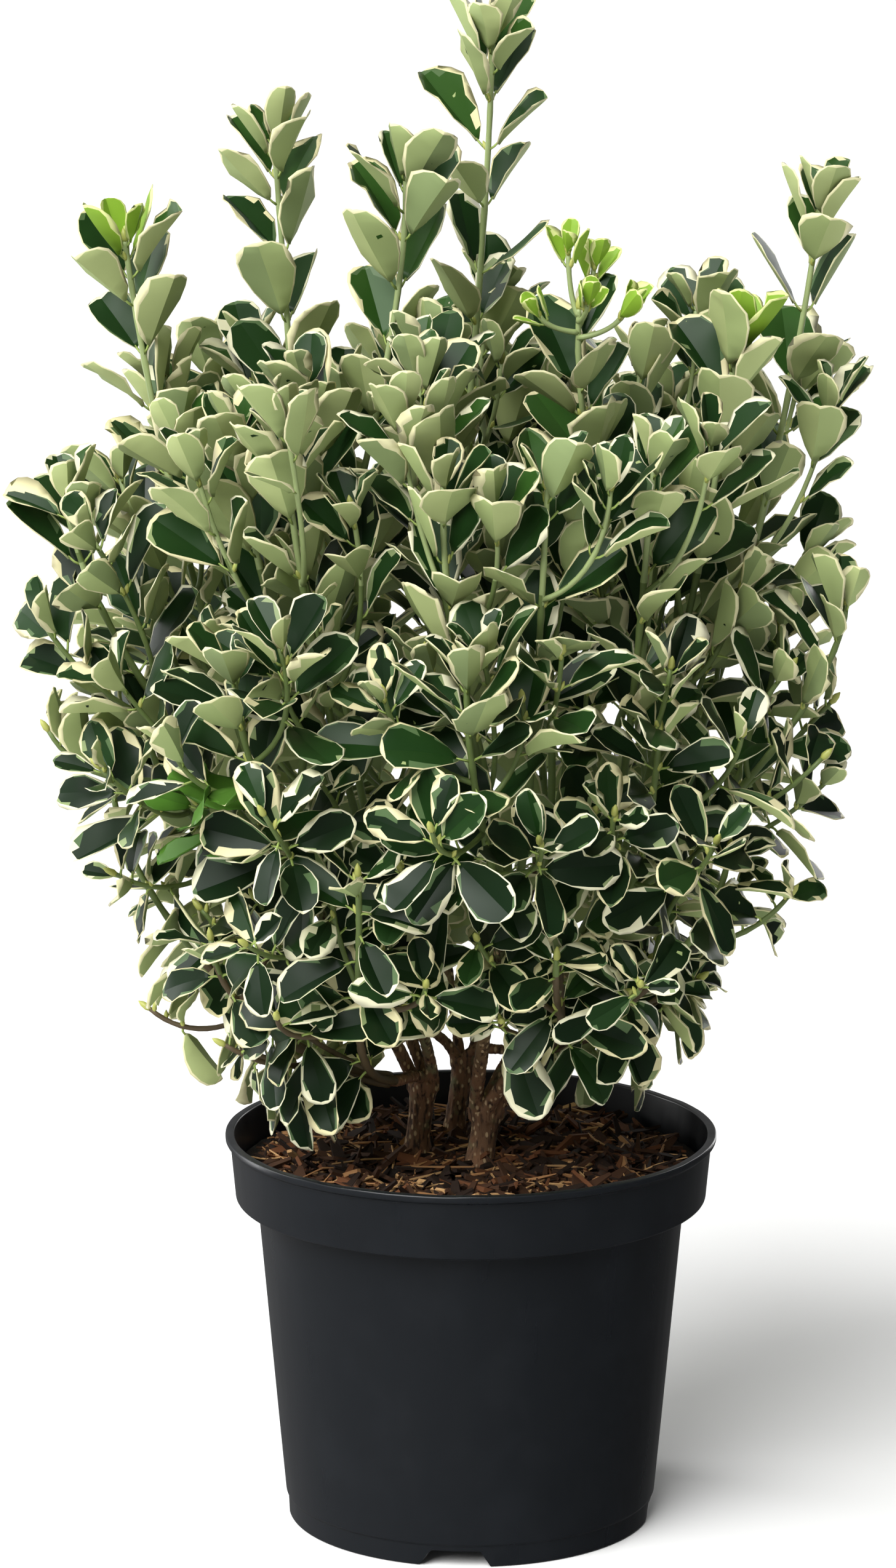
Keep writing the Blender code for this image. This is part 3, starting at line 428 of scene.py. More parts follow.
class Nodes:
    """The nodes of a material or a world, added and joined by short calls."""

    def __init__(self, made):
        made.use_nodes = True
        self.made, self.nodes, self.links = made, made.node_tree.nodes, made.node_tree.links
        self.places = self.add("ShaderNodeTexCoord").outputs

    def fill(self, node, sockets):
        """Sets a node's sockets to values, or joins outputs to them."""
        for key, value in sockets.items():
            socket = node.inputs[key]
            if isinstance(value, bpy.types.NodeSocket):
                self.links.new(value, socket)
            else:
                socket.default_value = (*value, 1.0) if socket.type == "RGBA" else value
        return node

    def add(self, kind, sockets=None, **settings):
        node = self.nodes.new(kind)
        for key, value in settings.items():
            setattr(node, key, value)
        return self.fill(node, sockets or {})

    def finished(self, **sockets):
        """The material, with its shader's sockets filled; a name's spaces are given as underscores."""
        named = {key.replace("_", " "): value for key, value in sockets.items()}
        self.fill(self.nodes["Principled BSDF"], named)
        return self.made

    def stretched(self, share):
        """The place on the piece, with its height taken in part, so that a pattern is drawn out upwards."""
        sockets = {"Scale": (1.0, 1.0, share), "Vector": self.places["Object"]}
        return self.add("ShaderNodeMapping", sockets).outputs["Vector"]

    def noise(self, scale, detail, place=None):
        place = place or self.places["Object"]
        sockets = {"Scale": scale, "Detail": detail, "Roughness": 0.55, "Vector": place}
        return self.add("ShaderNodeTexNoise", sockets).outputs["Fac"]

    def ramp(self, amount, low, high):
        """Maps an amount between two (position, colour or grey) stops."""
        node = self.add("ShaderNodeValToRGB", {"Fac": amount})
        for element, (position, value) in zip(node.color_ramp.elements, (low, high)):
            element.position = position
            element.color = (*(value if isinstance(value, tuple) else (value,) * 3), 1.0)
        return node.outputs["Color"]

    def blend(self, amount, low, high):
        return self.add("ShaderNodeMix", {0: amount, 6: low, 7: high}, data_type="RGBA").outputs[2]

    def span(self, amount, low, high, start=0.0, end=1.0):
        """Maps an amount between low and high to the range from start to end."""
        sockets = {"Value": amount, "From Min": low, "From Max": high, "To Min": start, "To Max": end}
        return self.add("ShaderNodeMapRange", sockets).outputs[0]

    def bump(self, height, distance, strength):
        sockets = {"Height": height, "Distance": distance, "Strength": strength}
        return self.add("ShaderNodeBump", sockets).outputs["Normal"]


# Limbs: the same rule as the solids

def trunk_path(trunk, steps=5):
    foot, fork = np.array([*trunk["foot"], SOIL_Z]), np.array(trunk["fork"])
    rise = (fork[2] - foot[2]) * UP
    return curve_between(foot, rise, fork, rise, steps)


def trunk_radii(trunk, steps):
    """A trunk's radius: wide at the roots, then slim, then swelling at the fork."""
    along = np.linspace(0, 1, steps + 1)
    return trunk["radius"] * (1 + (ROOT_FLARE - 1) * np.exp(-6 * along) + (FORK_SWELL - 1) * along**4)


def fan_starts(tip, ahead, ends, spacing):
    """Feet for the limbs that leave one tip: on a ring across it, each on the side it grows towards."""
    count = len(ends)
    lift = tip + ahead * FOOT_LIFT
    if count == 1:
        return [lift]
    side = unit(np.cross(ahead, (0.0, 1.0, 0.0)))
    other = np.cross(ahead, side)
    turns = np.array([math.atan2((end - tip) @ other, (end - tip) @ side) for end in ends])
    order = np.argsort(turns)
    steps = np.arange(count) * TAU / count
    offset = np.angle(np.exp(1j * (turns[order] - steps)).sum())
    radius = spacing / (2 * math.sin(math.pi / count))
    starts = [None] * count
    for turn, which in zip(steps + offset, order):
        starts[which] = lift + radius * (math.cos(turn) * side + math.sin(turn) * other)
    return starts


@functools.cache
def bough_plan():
    """Each bough's name, ring, trunk, tip, centre line ends and the direction of its tip."""
    plan = []
    for kind, ring in RINGS.items():
        for k, carrier in enumerate(ring["carriers"]):
            even = 1 - 2 * (k % 2)
            turn = ring["turn"] + TAU * k / len(ring["carriers"])
            tip = spot(ring["reach"] * (1 + BOUGH_FURTHER * even), turn, ring["height"] + BOUGH_HIGHER * even)
            arrive = math.sin(ring["lean"]) * outward(tip) + math.cos(ring["lean"]) * UP
            name = f"bough_{kind}_{k + 1}"
            plan.append({"name": name, "ring": kind, "trunk": carrier, "tip": tip, "arrive": arrive})
    for name, trunk in TRUNKS.items():
        own = [bough for bough in plan if bough["trunk"] == name]
        top, radius = trunk_path(trunk)[-1], BOUGH_SHARE * trunk["radius"]
        starts = fan_starts(top, UP, [bough["tip"] for bough in own], 2 * radius + BOUGH_GAP)
        for bough, start in zip(own, starts):
            length = np.linalg.norm(bough["tip"] - start)
            leave = unit(UP + BOUGH_SPREAD * unit((bough["tip"] - top) * (1, 1, 0)))
            bough["ends"] = (start, 0.8 * length * leave, bough["tip"], 0.9 * length * bough["arrive"])
            bough["radius"] = radius
            bough["ahead"] = directions(curve_between(*bough["ends"], 6))[-1]
    return plan


def crown_tips():
    """Tips of the upper masses: the leaders, then a sunflower pattern that fills the room between them."""
    chance = np.random.default_rng(SEED)
    tips = [np.array(leader) for leader in LEADERS]
    golden = math.pi * (3 - math.sqrt(5))
    for k in range(CROWN_SPOTS):
        share = math.sqrt((k + 0.5) / CROWN_SPOTS)
        height = CROWN_TOP_Z - CROWN_FALL * share**3 + chance.uniform(-CROWN_JITTER, CROWN_JITTER)
        tip = spot(CROWN_RADIUS * share, golden * k, height) + CROWN_CENTRE
        if min(np.linalg.norm((tip - other)[:2]) for other in tips) > SHOOT_SPACING:
            tips.append(tip)
    return tips


def ring_tips(ring):
    """Tips of the masses that stand in a ring round the crown, every other one further out and higher."""
    chance = np.random.default_rng(SEED + ring["count"])
    tips = []
    for k in range(ring["count"]):
        even = 1 - 2 * (k % 2)
        height = ring["height"] + 0.028 * even + chance.uniform(-0.012, 0.012)
        turn = ring["turn"] + TAU * k / ring["count"]
        tips.append(spot(ring["reach"] + 0.010 * even, turn, height) + CROWN_CENTRE)
    return tips


def share_out(tips, boughs):
    """The bough that carries each tip: the nearest by plan with room, the furthest tips choosing first."""
    most = math.ceil(len(tips) / len(boughs))
    homes = {}
    for which in sorted(range(len(tips)), key=lambda k: -np.linalg.norm(tips[k][:2])):
        free = [bough for bough in boughs if list(homes.values()).count(bough["name"]) < most]
        homes[which] = min(free, key=lambda b: np.linalg.norm((b["tip"] * 1.9 - tips[which])[:2]))["name"]
    return homes


def stem_path(mass, start, bend, steps=5):
    """A mass's stem: off the bough in its own direction, then up, leaning out a little."""
    kind, tip = KINDS[mass["kind"]], mass["tip"]
    length = np.linalg.norm(tip - start)
    leave = unit(mass["ahead"] + kind["spread"] * (tip - start) * (1, 1, 0) / length)
    lean = math.radians(kind["lean"]) * min(1.0, np.linalg.norm(tip[:2]) / 0.15)
    arrive = math.sin(lean) * outward(tip) + math.cos(lean) * UP
    return curve_between(start, bend * kind["leave"] * length * leave, tip, 0.9 * length * arrive, steps)


def clearest_order(masses, starts):
    """The order of the feet that keeps the stems of one bough furthest from each other."""
    def samples(path):
        at = np.linspace(0, 1, 24) * (len(path) - 1)
        return np.stack([np.interp(at, np.arange(len(path)), path[:, k]) for k in range(3)], 1)

    def least_gap(order):
        lines = [samples(stem_path(mass, start, 1.0)) for mass, start in zip(masses, order)]
        pairs = itertools.combinations(lines, 2)
        return min((np.linalg.norm(a[:, None] - b[None], axis=2).min() for a, b in pairs), default=1.0)

    return max(itertools.permutations(starts), key=least_gap)


def limb_shape(path, radius):
    """Points and faces of a three-sided limb, to test what crosses it."""
    return tubes(path[None], np.full((1, len(path)), radius), 3)[:2]


class Crowd:
    """What stands already, to keep a new piece from passing through any of it."""

    def __init__(self):
        self.trees, self.lows, self.highs = [], np.zeros((9000, 3)), np.zeros((9000, 3))

    def add(self, points, faces):
        count = len(self.trees)
        self.lows[count], self.highs[count] = points.min(0), points.max(0)
        self.trees.append(BVHTree.FromPolygons(points.tolist(), faces.tolist()))

    def blocks(self, points, faces):
        """Whether a shape crosses anything that stands."""
        count = len(self.trees)
        apart = (self.lows[:count] > points.max(0)) | (self.highs[:count] < points.min(0))
        near = np.nonzero(~apart.any(1))[0]
        if not len(near):
            return False
        tree = BVHTree.FromPolygons(points.tolist(), faces.tolist())
        return any(tree.overlap(self.trees[k]) for k in near)


@functools.cache
def mass_plan():
    """Each mass with its node's name, kind, tip, and its stem's fine centre line."""
    found, boughs = [], bough_plan()
    for kind, how in KINDS.items():
        tips = crown_tips() if kind == "crown" else ring_tips(how)
        homes = share_out(tips, [bough for bough in boughs if bough["ring"] == how["ring"]])
        for k, tip in enumerate(tips):
            leader = kind == "crown" and k < len(LEADERS)
            found.append({
                "name": f"foliage_{kind}_{k + 1}", "kind": kind, "tip": tip, "home": homes[k],
                "leader": leader, "fresh": leader and k == FRESH_LEADER,
                "lime": leader and k in LIME_LEADERS,
            })
    crowd = Crowd()
    for bough in boughs:
        own = [mass for mass in found if mass["home"] == bough["name"]]
        starts = fan_starts(bough["tip"], bough["ahead"], [mass["tip"] for mass in own], STEM_SPREAD)
        for mass in own:
            mass["ahead"] = bough["ahead"]
        for mass, start in zip(own, clearest_order(own, starts)):
            for bend in STEM_BENDS:
                shape = limb_shape(stem_path(mass, start, bend), STEM_TEST_RADIUS)
                if not crowd.blocks(*shape):
                    break
            crowd.add(*shape)
            path = stem_path(mass, start, bend, FINE_STEPS)
            more = LEADER_EXTRA if mass["leader"] else KINDS[mass["kind"]]["extra"]
            mass["path"] = np.concatenate([path, path[-1:] + more * unit(path[-1] - path[-2])])
    return found


# Fine growth

def square_level(ahead, tip):
    """The level direction round the crown at a tip, made square to a stem there."""
    level = unit(np.cross(UP, outward(tip)))
    return unit(level - (level @ ahead) * ahead)


def off_stem(ahead, level, turn):
    """The direction square to a stem at a turn round it from a level one."""
    return math.cos(turn) * level + math.sin(turn) * np.cross(ahead, level)


def leaf_frame(ahead, away, angle, roll, outside, seek):
    """The directions along a leaf's blade and out of its upper face.

    The blade stands off the stem by the angle, with its upper face towards the tip. The face is then drawn
    towards the outside of the crown by the share given, and rolled a little.
    """
    along = math.cos(angle) * ahead + math.sin(angle) * away
    face = math.sin(angle) * ahead - math.cos(angle) * away + seek * outside
    face = unit(face - (face @ along) * along)
    return along, math.cos(roll) * face + math.sin(roll) * np.cross(along, face)


def leaf_test_points(base, along, face, length, slimness, fold):
    """Eight points of a folded, two-step blade, to test what it crosses."""
    half = slimness * length / 2
    side, rise = 0.9 * half * np.cross(along, face), 0.9 * (half * math.tan(fold)) * face
    low, high = base + 0.34 * length * along, base + 0.74 * length * along
    return np.array([
        base, low, high, low + side + rise, high + side + rise, low - side + rise, high - side + rise,
        base + length * along,
    ])


def inside_outline(points):
    """Whether points keep inside the crown's surface, above the mulch and out of the trunks' opening."""
    x, y, height = (points - CROWN_CENTRE).T
    reach = np.hypot(x, y)
    off = np.abs((np.arctan2(y, x) - OPENING_TURN + TAU / 2) % TAU - TAU / 2)
    lowest = np.where(off < OPENING_HALF, OPENING_Z + OPENING_RISE * reach, LOWEST_LEAF_Z)
    patches = np.clip(1.3 * lattice_noise(points * (14.0, 14.0, 19.0), 9), 0, 1)
    most = np.interp(height, OUTLINE_Z, OUTLINE_REACH) - np.interp(height, HOLLOW_Z, HOLLOW) * patches
    return (height > lowest).all() and (reach < most).all()


def point_at(path, distance):
    """The point and the direction at a distance along a path."""
    lengths = lengths_along(path)
    low = int(np.clip(np.searchsorted(lengths, distance) - 1, 0, len(path) - 2))
    share = (distance - lengths[low]) / (lengths[low + 1] - lengths[low])
    return path[low] + share * (path[low + 1] - path[low]), unit(path[low + 1] - path[low])


def path_length(path):
    return np.linalg.norm(np.diff(path, axis=0), axis=1).sum()


def pair_distances(length, bare, loose, chance, tight=TIGHT):
    """Distances along a shoot of its pairs of leaves, crowded at the tip and then further apart."""
    found = [length - below for below in tight]
    place = found[-1] - loose * 0.8
    while place > bare * length:
        found.append(place)
        place -= loose * chance.uniform(0.8, 1.25)
    return [d for d in found if d > bare * length]


class Growth:
    """Grows the twigs and leaves of every mass and keeps what they need to be drawn."""

    def __init__(self, leaves_like, shoots_like):
        self.leaves_like, self.shoots_like = leaves_like, shoots_like
        self.crowd, self.leaves, self.twigs = Crowd(), [], []
        for trunk in TRUNKS.values():
            self.crowd.add(*limb_shape(trunk_path(trunk), 1.2 * trunk["radius"]))
        for bough in bough_plan():
            self.crowd.add(*limb_shape(curve_between(*bough["ends"], 8), bough["radius"] + 0.001))
        for mass in mass_plan():
            self.crowd.add(*limb_shape(mass["path"][::4], shoots_like.stem_radius))
        for index, mass in enumerate(mass_plan()):
            self.grow_mass(mass, KINDS[mass["kind"]], np.random.default_rng((SEED, index)))

    def grow_mass(self, mass, how, chance):
        loose, tight = (LEADER_LOOSE, LEADER_TIGHT) if mass["leader"] else (how["loose"], TIGHT)
        if mass["fresh"]:
            self.grow_fresh(mass, chance)
            tight = FRESH_TIGHT
        twigs = self.grow_twigs(mass, how, chance)
        mass["nodes"] = pair_distances(path_length(mass["path"]), how["bare"], loose, chance, tight)
        self.grow_leaves(mass, mass["path"], mass["nodes"], 1.0, chance)
        for twig in twigs:
            length = path_length(twig["path"])
            twig["nodes"] = pair_distances(length, how["twig_bare"], how["loose"] * 0.85, chance)
            self.grow_leaves(mass, twig["path"], twig["nodes"], 0.94, chance)
        self.twigs += twigs

    def grow_fresh(self, mass, chance):
        """Short soft side shoots with small fresh leaves round the tip of one leader."""
        t, tip, ahead = TWIG_AT, mass["path"][-1], unit(mass["path"][-1] - mass["path"][-3])
        level = unit(np.cross(ahead, (0.0, 1.0, 0.0)))
        for k, rise in enumerate(FRESH_RISES):
            away = off_stem(ahead, level, -0.5 + k * TWIG_TURN)
            reach, start = 0.008 + 0.005 * k, tip - (0.004 + 0.003 * k) * ahead
            path = start + reach * (1.6 * t - 0.6 * t**2) * away + rise * (0.5 * t + 0.5 * t**2) * ahead
            nodes = [0.78 * path_length(path), 0.98 * path_length(path)]
            self.crowd.add(*limb_shape(path[::3], self.shoots_like.twig_radius))
            self.twigs.append({"path": path, "nodes": nodes})
            self.grow_leaves(mass, path, nodes, 0.62, chance, True)

    def grow_twigs(self, mass, how, chance):
        """Side twigs up a stem, each out from it and then up beside it."""
        grown, spin, t = [], chance.uniform(0, TAU), TWIG_AT
        length = path_length(mass["path"])
        last = 0.52 if mass["leader"] else 0.74
        for k, share in enumerate(np.linspace(how["bare"] * 0.8, last, how["twigs"])):
            centre, ahead = point_at(mass["path"], share * length)
            away = off_stem(ahead, square_level(ahead, mass["tip"]), spin + k * TWIG_TURN)
            reach = how["twig_reach"] * chance.uniform(0.8, 1.2)
            rise = how["twig_rise"] * chance.uniform(0.7, 1.2)
            path = centre + reach * (2 * t - t**2) * away + rise * (0.35 * t + 0.65 * t**1.6) * ahead
            shape = limb_shape(path[2::2], self.shoots_like.twig_radius)
            if inside_outline(path) and not self.crowd.blocks(*shape):
                self.crowd.add(*shape)
                grown.append({"path": path})
        return grown

    def grow_leaves(self, mass, path, places, scale, chance, fresh=False):
        """Crossed pairs of leaves. A leaf with no room is tried another way or left out."""
        spin, length = chance.uniform(0, TAU), path_length(path)
        for pair, place in enumerate(places):
            centre, ahead = point_at(path, place)
            below, height = length - place, centre[2]
            level = square_level(ahead, mass["tip"])
            shade = np.interp(height, (0.40, 0.66), (1.0, 0.0))
            young = fresh or (mass["lime"] and path is mass["path"] and below < 0.015)
            for side in (0, 1):
                turn = spin + pair * TAU / 4 + side * TAU / 2 + chance.uniform(-0.25, 0.25)
                size = self.leaves_like.length * scale * np.interp(height, SIZE_Z, SIZE)
                size *= chance.uniform(0.84, 1.16)
                size *= np.interp(below, (0.0, 0.012, 0.030), (0.52, 0.82, 1.0))
                angle = np.interp(height, ANGLE_Z, ANGLE) + chance.uniform(-0.24, 0.24)
                off = angle - EDGE_ON
                if abs(off) < EDGE_ON_HALF and chance.random() < 0.8:
                    angle = EDGE_ON + math.copysign(EDGE_ON_HALF, off)
                angle *= np.interp(below, (0.0, 0.02), (0.62, 1.0))
                draw = {
                    "slimness": np.interp(height, (0.40, 0.60), (0.0, 0.09)) + chance.uniform(0.52, 0.64),
                    "fold": math.radians(chance.uniform(4, 24)), "roll": chance.uniform(-0.42, 0.42),
                    "seek": shade * chance.uniform(0.0, 0.85), "fresh": young,
                }
                for less, around, share in TRIES:
                    away = off_stem(ahead, level, turn + around)
                    if self.try_leaf(centre, ahead, away, max(angle - less, 0.3), size * share, draw):
                        break

    def try_leaf(self, centre, ahead, away, angle, size, draw):
        """Keeps a leaf and its stalk, if it has room, and says whether it has."""
        outside, root = outward(centre + 0.02 * away), centre + 0.7 * self.shoots_like.tip_radius * away
        along, face = leaf_frame(ahead, away, angle, draw["roll"], outside, draw["seek"])
        heel = unit(0.55 * ahead + away + 0.6 * along)
        base = root + self.leaves_like.stalk * size * unit(heel + along)
        points = leaf_test_points(base, along, face, size, draw["slimness"], draw["fold"])
        if not inside_outline(points) or self.crowd.blocks(points, LEAF_TEST_FACES):
            return False
        self.crowd.add(points, LEAF_TEST_FACES)
        heel = root + 0.5 * self.leaves_like.stalk * size * heel
        made = {"root": root, "heel": heel, "base": base, "along": along, "face": face, "size": size}
        self.leaves.append({**draw, **made})
        return True


@functools.cache
def growth():
    """The whole crown, grown once for the pieces that draw it."""
    return Growth(bpy.context.scene.spindle_leaves, bpy.context.scene.spindle_shoots)


# Leaves

def blade_points(leaf, chance, like):
    """Points of closed blades, as an array of leaves, rows, columns and x, y, z.

    The centre line bends evenly in the plane of the blade's length and face. At each row a cross-section of
    ten points runs over the top from edge to edge and back below: the top rises from the midrib by the fold,
    cupped and rippled, and three points lie one thickness below it, deeper under the midrib. The rows bow
    towards the tip as side veins do, and every other one stands a little proud.
    """
    count, rows = len(leaf["size"]), len(ROW_AT)

    def draw(low, high, *shape):
        return chance.uniform(low, high, (count, *shape))

    size = leaf["size"][:, None]
    most = np.interp(leaf["base"][:, 2], BEND_Z, BEND)
    bend = np.where(leaf["fresh"], 0.2, most * draw(-1.0, 0.6))[:, None]
    phi = bend * (0.5 * (ROW_AT[1:] + ROW_AT[:-1]) - 0.25)
    step, start = np.diff(ROW_AT) * size, np.zeros((count, 1))
    run, lift = (
        np.concatenate([start, np.cumsum(step * wave(phi), 1)], 1)[..., None] for wave in (np.cos, np.sin)
    )
    along, face = leaf["along"][:, None], leaf["face"][:, None]
    across = np.cross(along, face)
    centre = leaf["base"][:, None] + run * along + lift * face
    slope = (bend * (ROW_AT - 0.25))[..., None]
    twist = (draw(-0.30, 0.30, 1) * ROW_AT)[..., None]
    normal = np.cos(slope) * face - np.sin(slope) * along
    sideways = np.cos(twist) * across + np.sin(twist) * normal
    normal = np.cos(twist) * normal - np.sin(twist) * across

    longer = draw(-0.16, 0.14, 1)
    half = size * leaf["slimness"][:, None] / 2 * ROW_WIDE * (1 + longer * (ROW_AT - 0.5) * 2)
    sides = half[..., None] * (1 + draw(-0.05, 0.05, rows, 2))
    tips = np.interp(ROW_AT, (0.0, 0.2, 0.8, 1.0), (0.35, 0.8, 1.1, 1.5))[:, None]
    edge = like.edge * draw(0.55, 1.5, 1, 1) ** 2 * draw(0.3, 1.5, rows, 2) ** 2 * tips
    margin = np.clip(1 - edge / sides, 0.40, 0.93)
    flush = like.flush * draw(0.3, 1.6, 1, 1) * draw(0.0, 1.0, rows, 2)
    inner = np.clip(margin - np.clip(flush / sides, 0.04, 0.5), 0.24, 1.0)

    left, right = -sides[..., 0], sides[..., 1]
    (margin_l, margin_r), (inner_l, inner_r) = np.moveaxis(margin, 2, 0), np.moveaxis(inner, 2, 0)
    one, zero = np.ones_like(left), np.zeros_like(left)
    share = np.stack([one, margin_l, inner_l, zero, inner_r, margin_r, one, margin_r, zero, margin_l], -1)
    reach = share * np.stack([left] * 4 + [right] * 5 + [left], -1)
    cup, ripple = draw(-0.15, 0.35, 1, 1), draw(0.0, 0.15, 1, 1)
    waves, phase = draw(1.2, 2.4, 1, 1), draw(0, TAU, 1, 1)
    ripple = ripple * np.sin(TAU * waves * ROW_AT[:, None] + phase + np.pi * 0.7 * np.sign(reach))
    away, proud = np.abs(reach), like.quilt * ROW_QUILT
    rise = np.tan(leaf["fold"])[:, None, None] * away + cup * away * share
    rise += ripple * away * share**2 + proud * np.sin(np.pi * share)
    for inside, beside in ((2, 1), (4, 5)):
        straight = rise[..., 3] + (rise[..., beside] - rise[..., 3]) * share[..., inside] / share[..., beside]
        rise[..., inside] = np.maximum(rise[..., inside], straight)
    thick = like.thickness * np.interp(ROW_AT, (0, 0.1, 0.9, 1), (1.4, 1.0, 0.8, 0.4))[:, None]
    rise -= thick * ((0,) * 7 + (0.8, 1.8, 0.8)) + proud * ((0,) * 7 + (1, 0, 1))
    sweep = size[..., None] * share**1.5 * 0.08 * np.sin(np.pi * ROW_AT)[:, None]
    return (
        centre[..., None, :] + reach[..., None] * sideways[..., None, :]
        + sweep[..., None] * along[..., None, :] + rise[..., None] * normal[..., None, :]
    )


def blade_finishes(leaf, chance):
    """The finish of every face of the blades, as an array of leaves, rows and strips across.

    Six strips lie on top: cream, uneven band, green, green, uneven band, cream. Four lie below.
    """
    count, rows = len(leaf["size"]), len(ROW_AT) - 1
    height = leaf["base"][:, 2]
    # The deep, mid and light greens follow height: partly the leaves' real age, partly painted shade low in
    # the crown and painted light at its top.
    light = np.clip((height - 0.40) / 0.35, 0, 1) + chance.uniform(-0.35, 0.35, count)
    green = np.where(light < 0.22, DEEP, np.where(light < 0.85, MID, LIGHT))[:, None, None]
    cream = np.where(chance.random(count) < 0.6, CREAM, WARM_CREAM)[:, None, None]
    # Greyer undersides come more often low in the crown: partly random tone, partly painted shade.
    sage = np.where(chance.random(count) < 0.25 + 0.4 * (height < 0.55), GREY_SAGE, SAGE)
    found = np.empty((count, rows, 10), int)
    found[:, :, (0, 5)] = cream
    found[:, :, (2, 3)] = green
    flush = np.where(chance.random((count, 1, 2)) < 0.7, SPLASH, PALE_SPLASH)
    draw = chance.random((count, rows, 2)) + chance.uniform(-0.25, 0.25, (count, 1, 1))
    found[:, :, (1, 4)] = np.where(draw < 0.44, green, np.where(draw < 0.86, flush, cream))
    found[:, -1, 1:5] = np.where(chance.random((count, 1)) < 0.4, SPLASH, cream[:, 0])
    found[:, :, (6, 9)] = UNDER_CREAM
    found[:, :, (7, 8)] = sage[:, None, None]
    # Painted light: one half of each underside is painted paler, as if the light fell on that side of the
    # fold.
    painted_lit_half = np.where(chance.random(count) < 0.5, 7, 8)
    found[np.arange(count), :, painted_lit_half] = np.where(sage == SAGE, PAINTED_LIT_SAGE, SAGE)[:, None]
    found[:, -1, 6:] = UNDER_CREAM
    for spots, finish in ((PLAIN_SPOTS, PLAIN), (YELLOW_SPOTS, YELLOW)):
        for *place, reach in spots:
            found[np.linalg.norm(leaf["base"] - place, axis=1) < reach] = finish
    fresh = leaf["fresh"]
    edges = np.isin(found[fresh], (CREAM, WARM_CREAM, UNDER_CREAM, PALE_SPLASH))
    found[fresh] = np.where(edges, LIME_EDGE, LIME)
    return found


def make_leaves(name, leaves, finishes, like, nodes, seed):
    """One piece of many leaves: closed blades and their three-sided stalks."""
    chance = np.random.default_rng((SEED, seed))
    leaf = {key: np.array([one[key] for one in leaves]) for key in leaves[0]}
    blades = blade_points(leaf, chance, like)
    count, rows, columns = blades.shape[:3]
    walls, ends = tube_faces(count, rows, columns)
    paths = np.stack([leaf["root"], leaf["heel"], leaf["base"] + STALK_INSET * leaf["along"]], 1)
    stalk_points, stalk_walls, stalk_ends = tubes(paths, np.broadcast_to(STALK_RADII, (count, 3)), 3)
    shift = blades.size // 3
    groups = [
        (walls[:, ::-1], blade_finishes(leaf, chance).reshape(-1)), (ends[:, ::-1], UNDER_CREAM),
        (stalk_walls + shift, STALK), (stalk_ends + shift, STALK),
    ]
    points = np.concatenate([blades.reshape(-1, 3), stalk_points])
    crease_midribs(piece_from(name, points, groups, finishes, nodes).data, shift, columns)


def crease_midribs(mesh, blades_end, columns):
    """Marks the edges along the blades' midribs, above and below, as sharp."""
    ends = np.empty(len(mesh.edges) * 2, np.int32)
    mesh.edges.foreach_get("vertices", ends)
    ends = ends.reshape(-1, 2)
    ribs = (ends < blades_end).all(1) & np.isin(ends[:, 0] % columns, (3, 8))
    ribs &= np.abs(ends[:, 0] - ends[:, 1]) == columns
    mesh.attributes.new("sharp_edge", "BOOLEAN", "EDGE").data.foreach_set("value", ribs)


# Operators

class SPINDLE_OT_leaves(bpy.types.Operator):
    """Grow the leaves, in pieces from the top of the crown down"""

    bl_idname = "spindle.leaves"
    bl_label = "Leaves"

    def execute(self, context):
        like = context.scene.spindle_leaves
        finishes = [plain_finish(name, getattr(like, key), *shine) for name, key, shine in LEAF_FINISHES]
        leaves = sorted(growth().leaves, key=lambda leaf: -leaf["base"][2])
        names = [mass["name"] for mass in mass_plan()]
        cuts = np.linspace(0, len(leaves), math.ceil(len(leaves) / LEAVES_IN_A_PIECE) + 1).astype(int)
        for k, (start, end) in enumerate(zip(cuts, cuts[1:])):
            make_leaves(f"leaves_{k + 1}", leaves[start:end], finishes, like, () if k else names, k)
        return {"FINISHED"}


def swollen_radii(path, nodes, foot, tip):
    """A shoot's radius along its path: an even taper with a small swelling at each pair of leaves."""
    lengths = lengths_along(path)
    taper = np.interp(lengths, (0, lengths[-1]), (foot, tip))
    swell = sum((np.exp(-(((lengths - node) / 0.0035) ** 2)) for node in nodes), 0 * lengths)
    return taper * (1 + 0.22 * np.minimum(swell, 1))


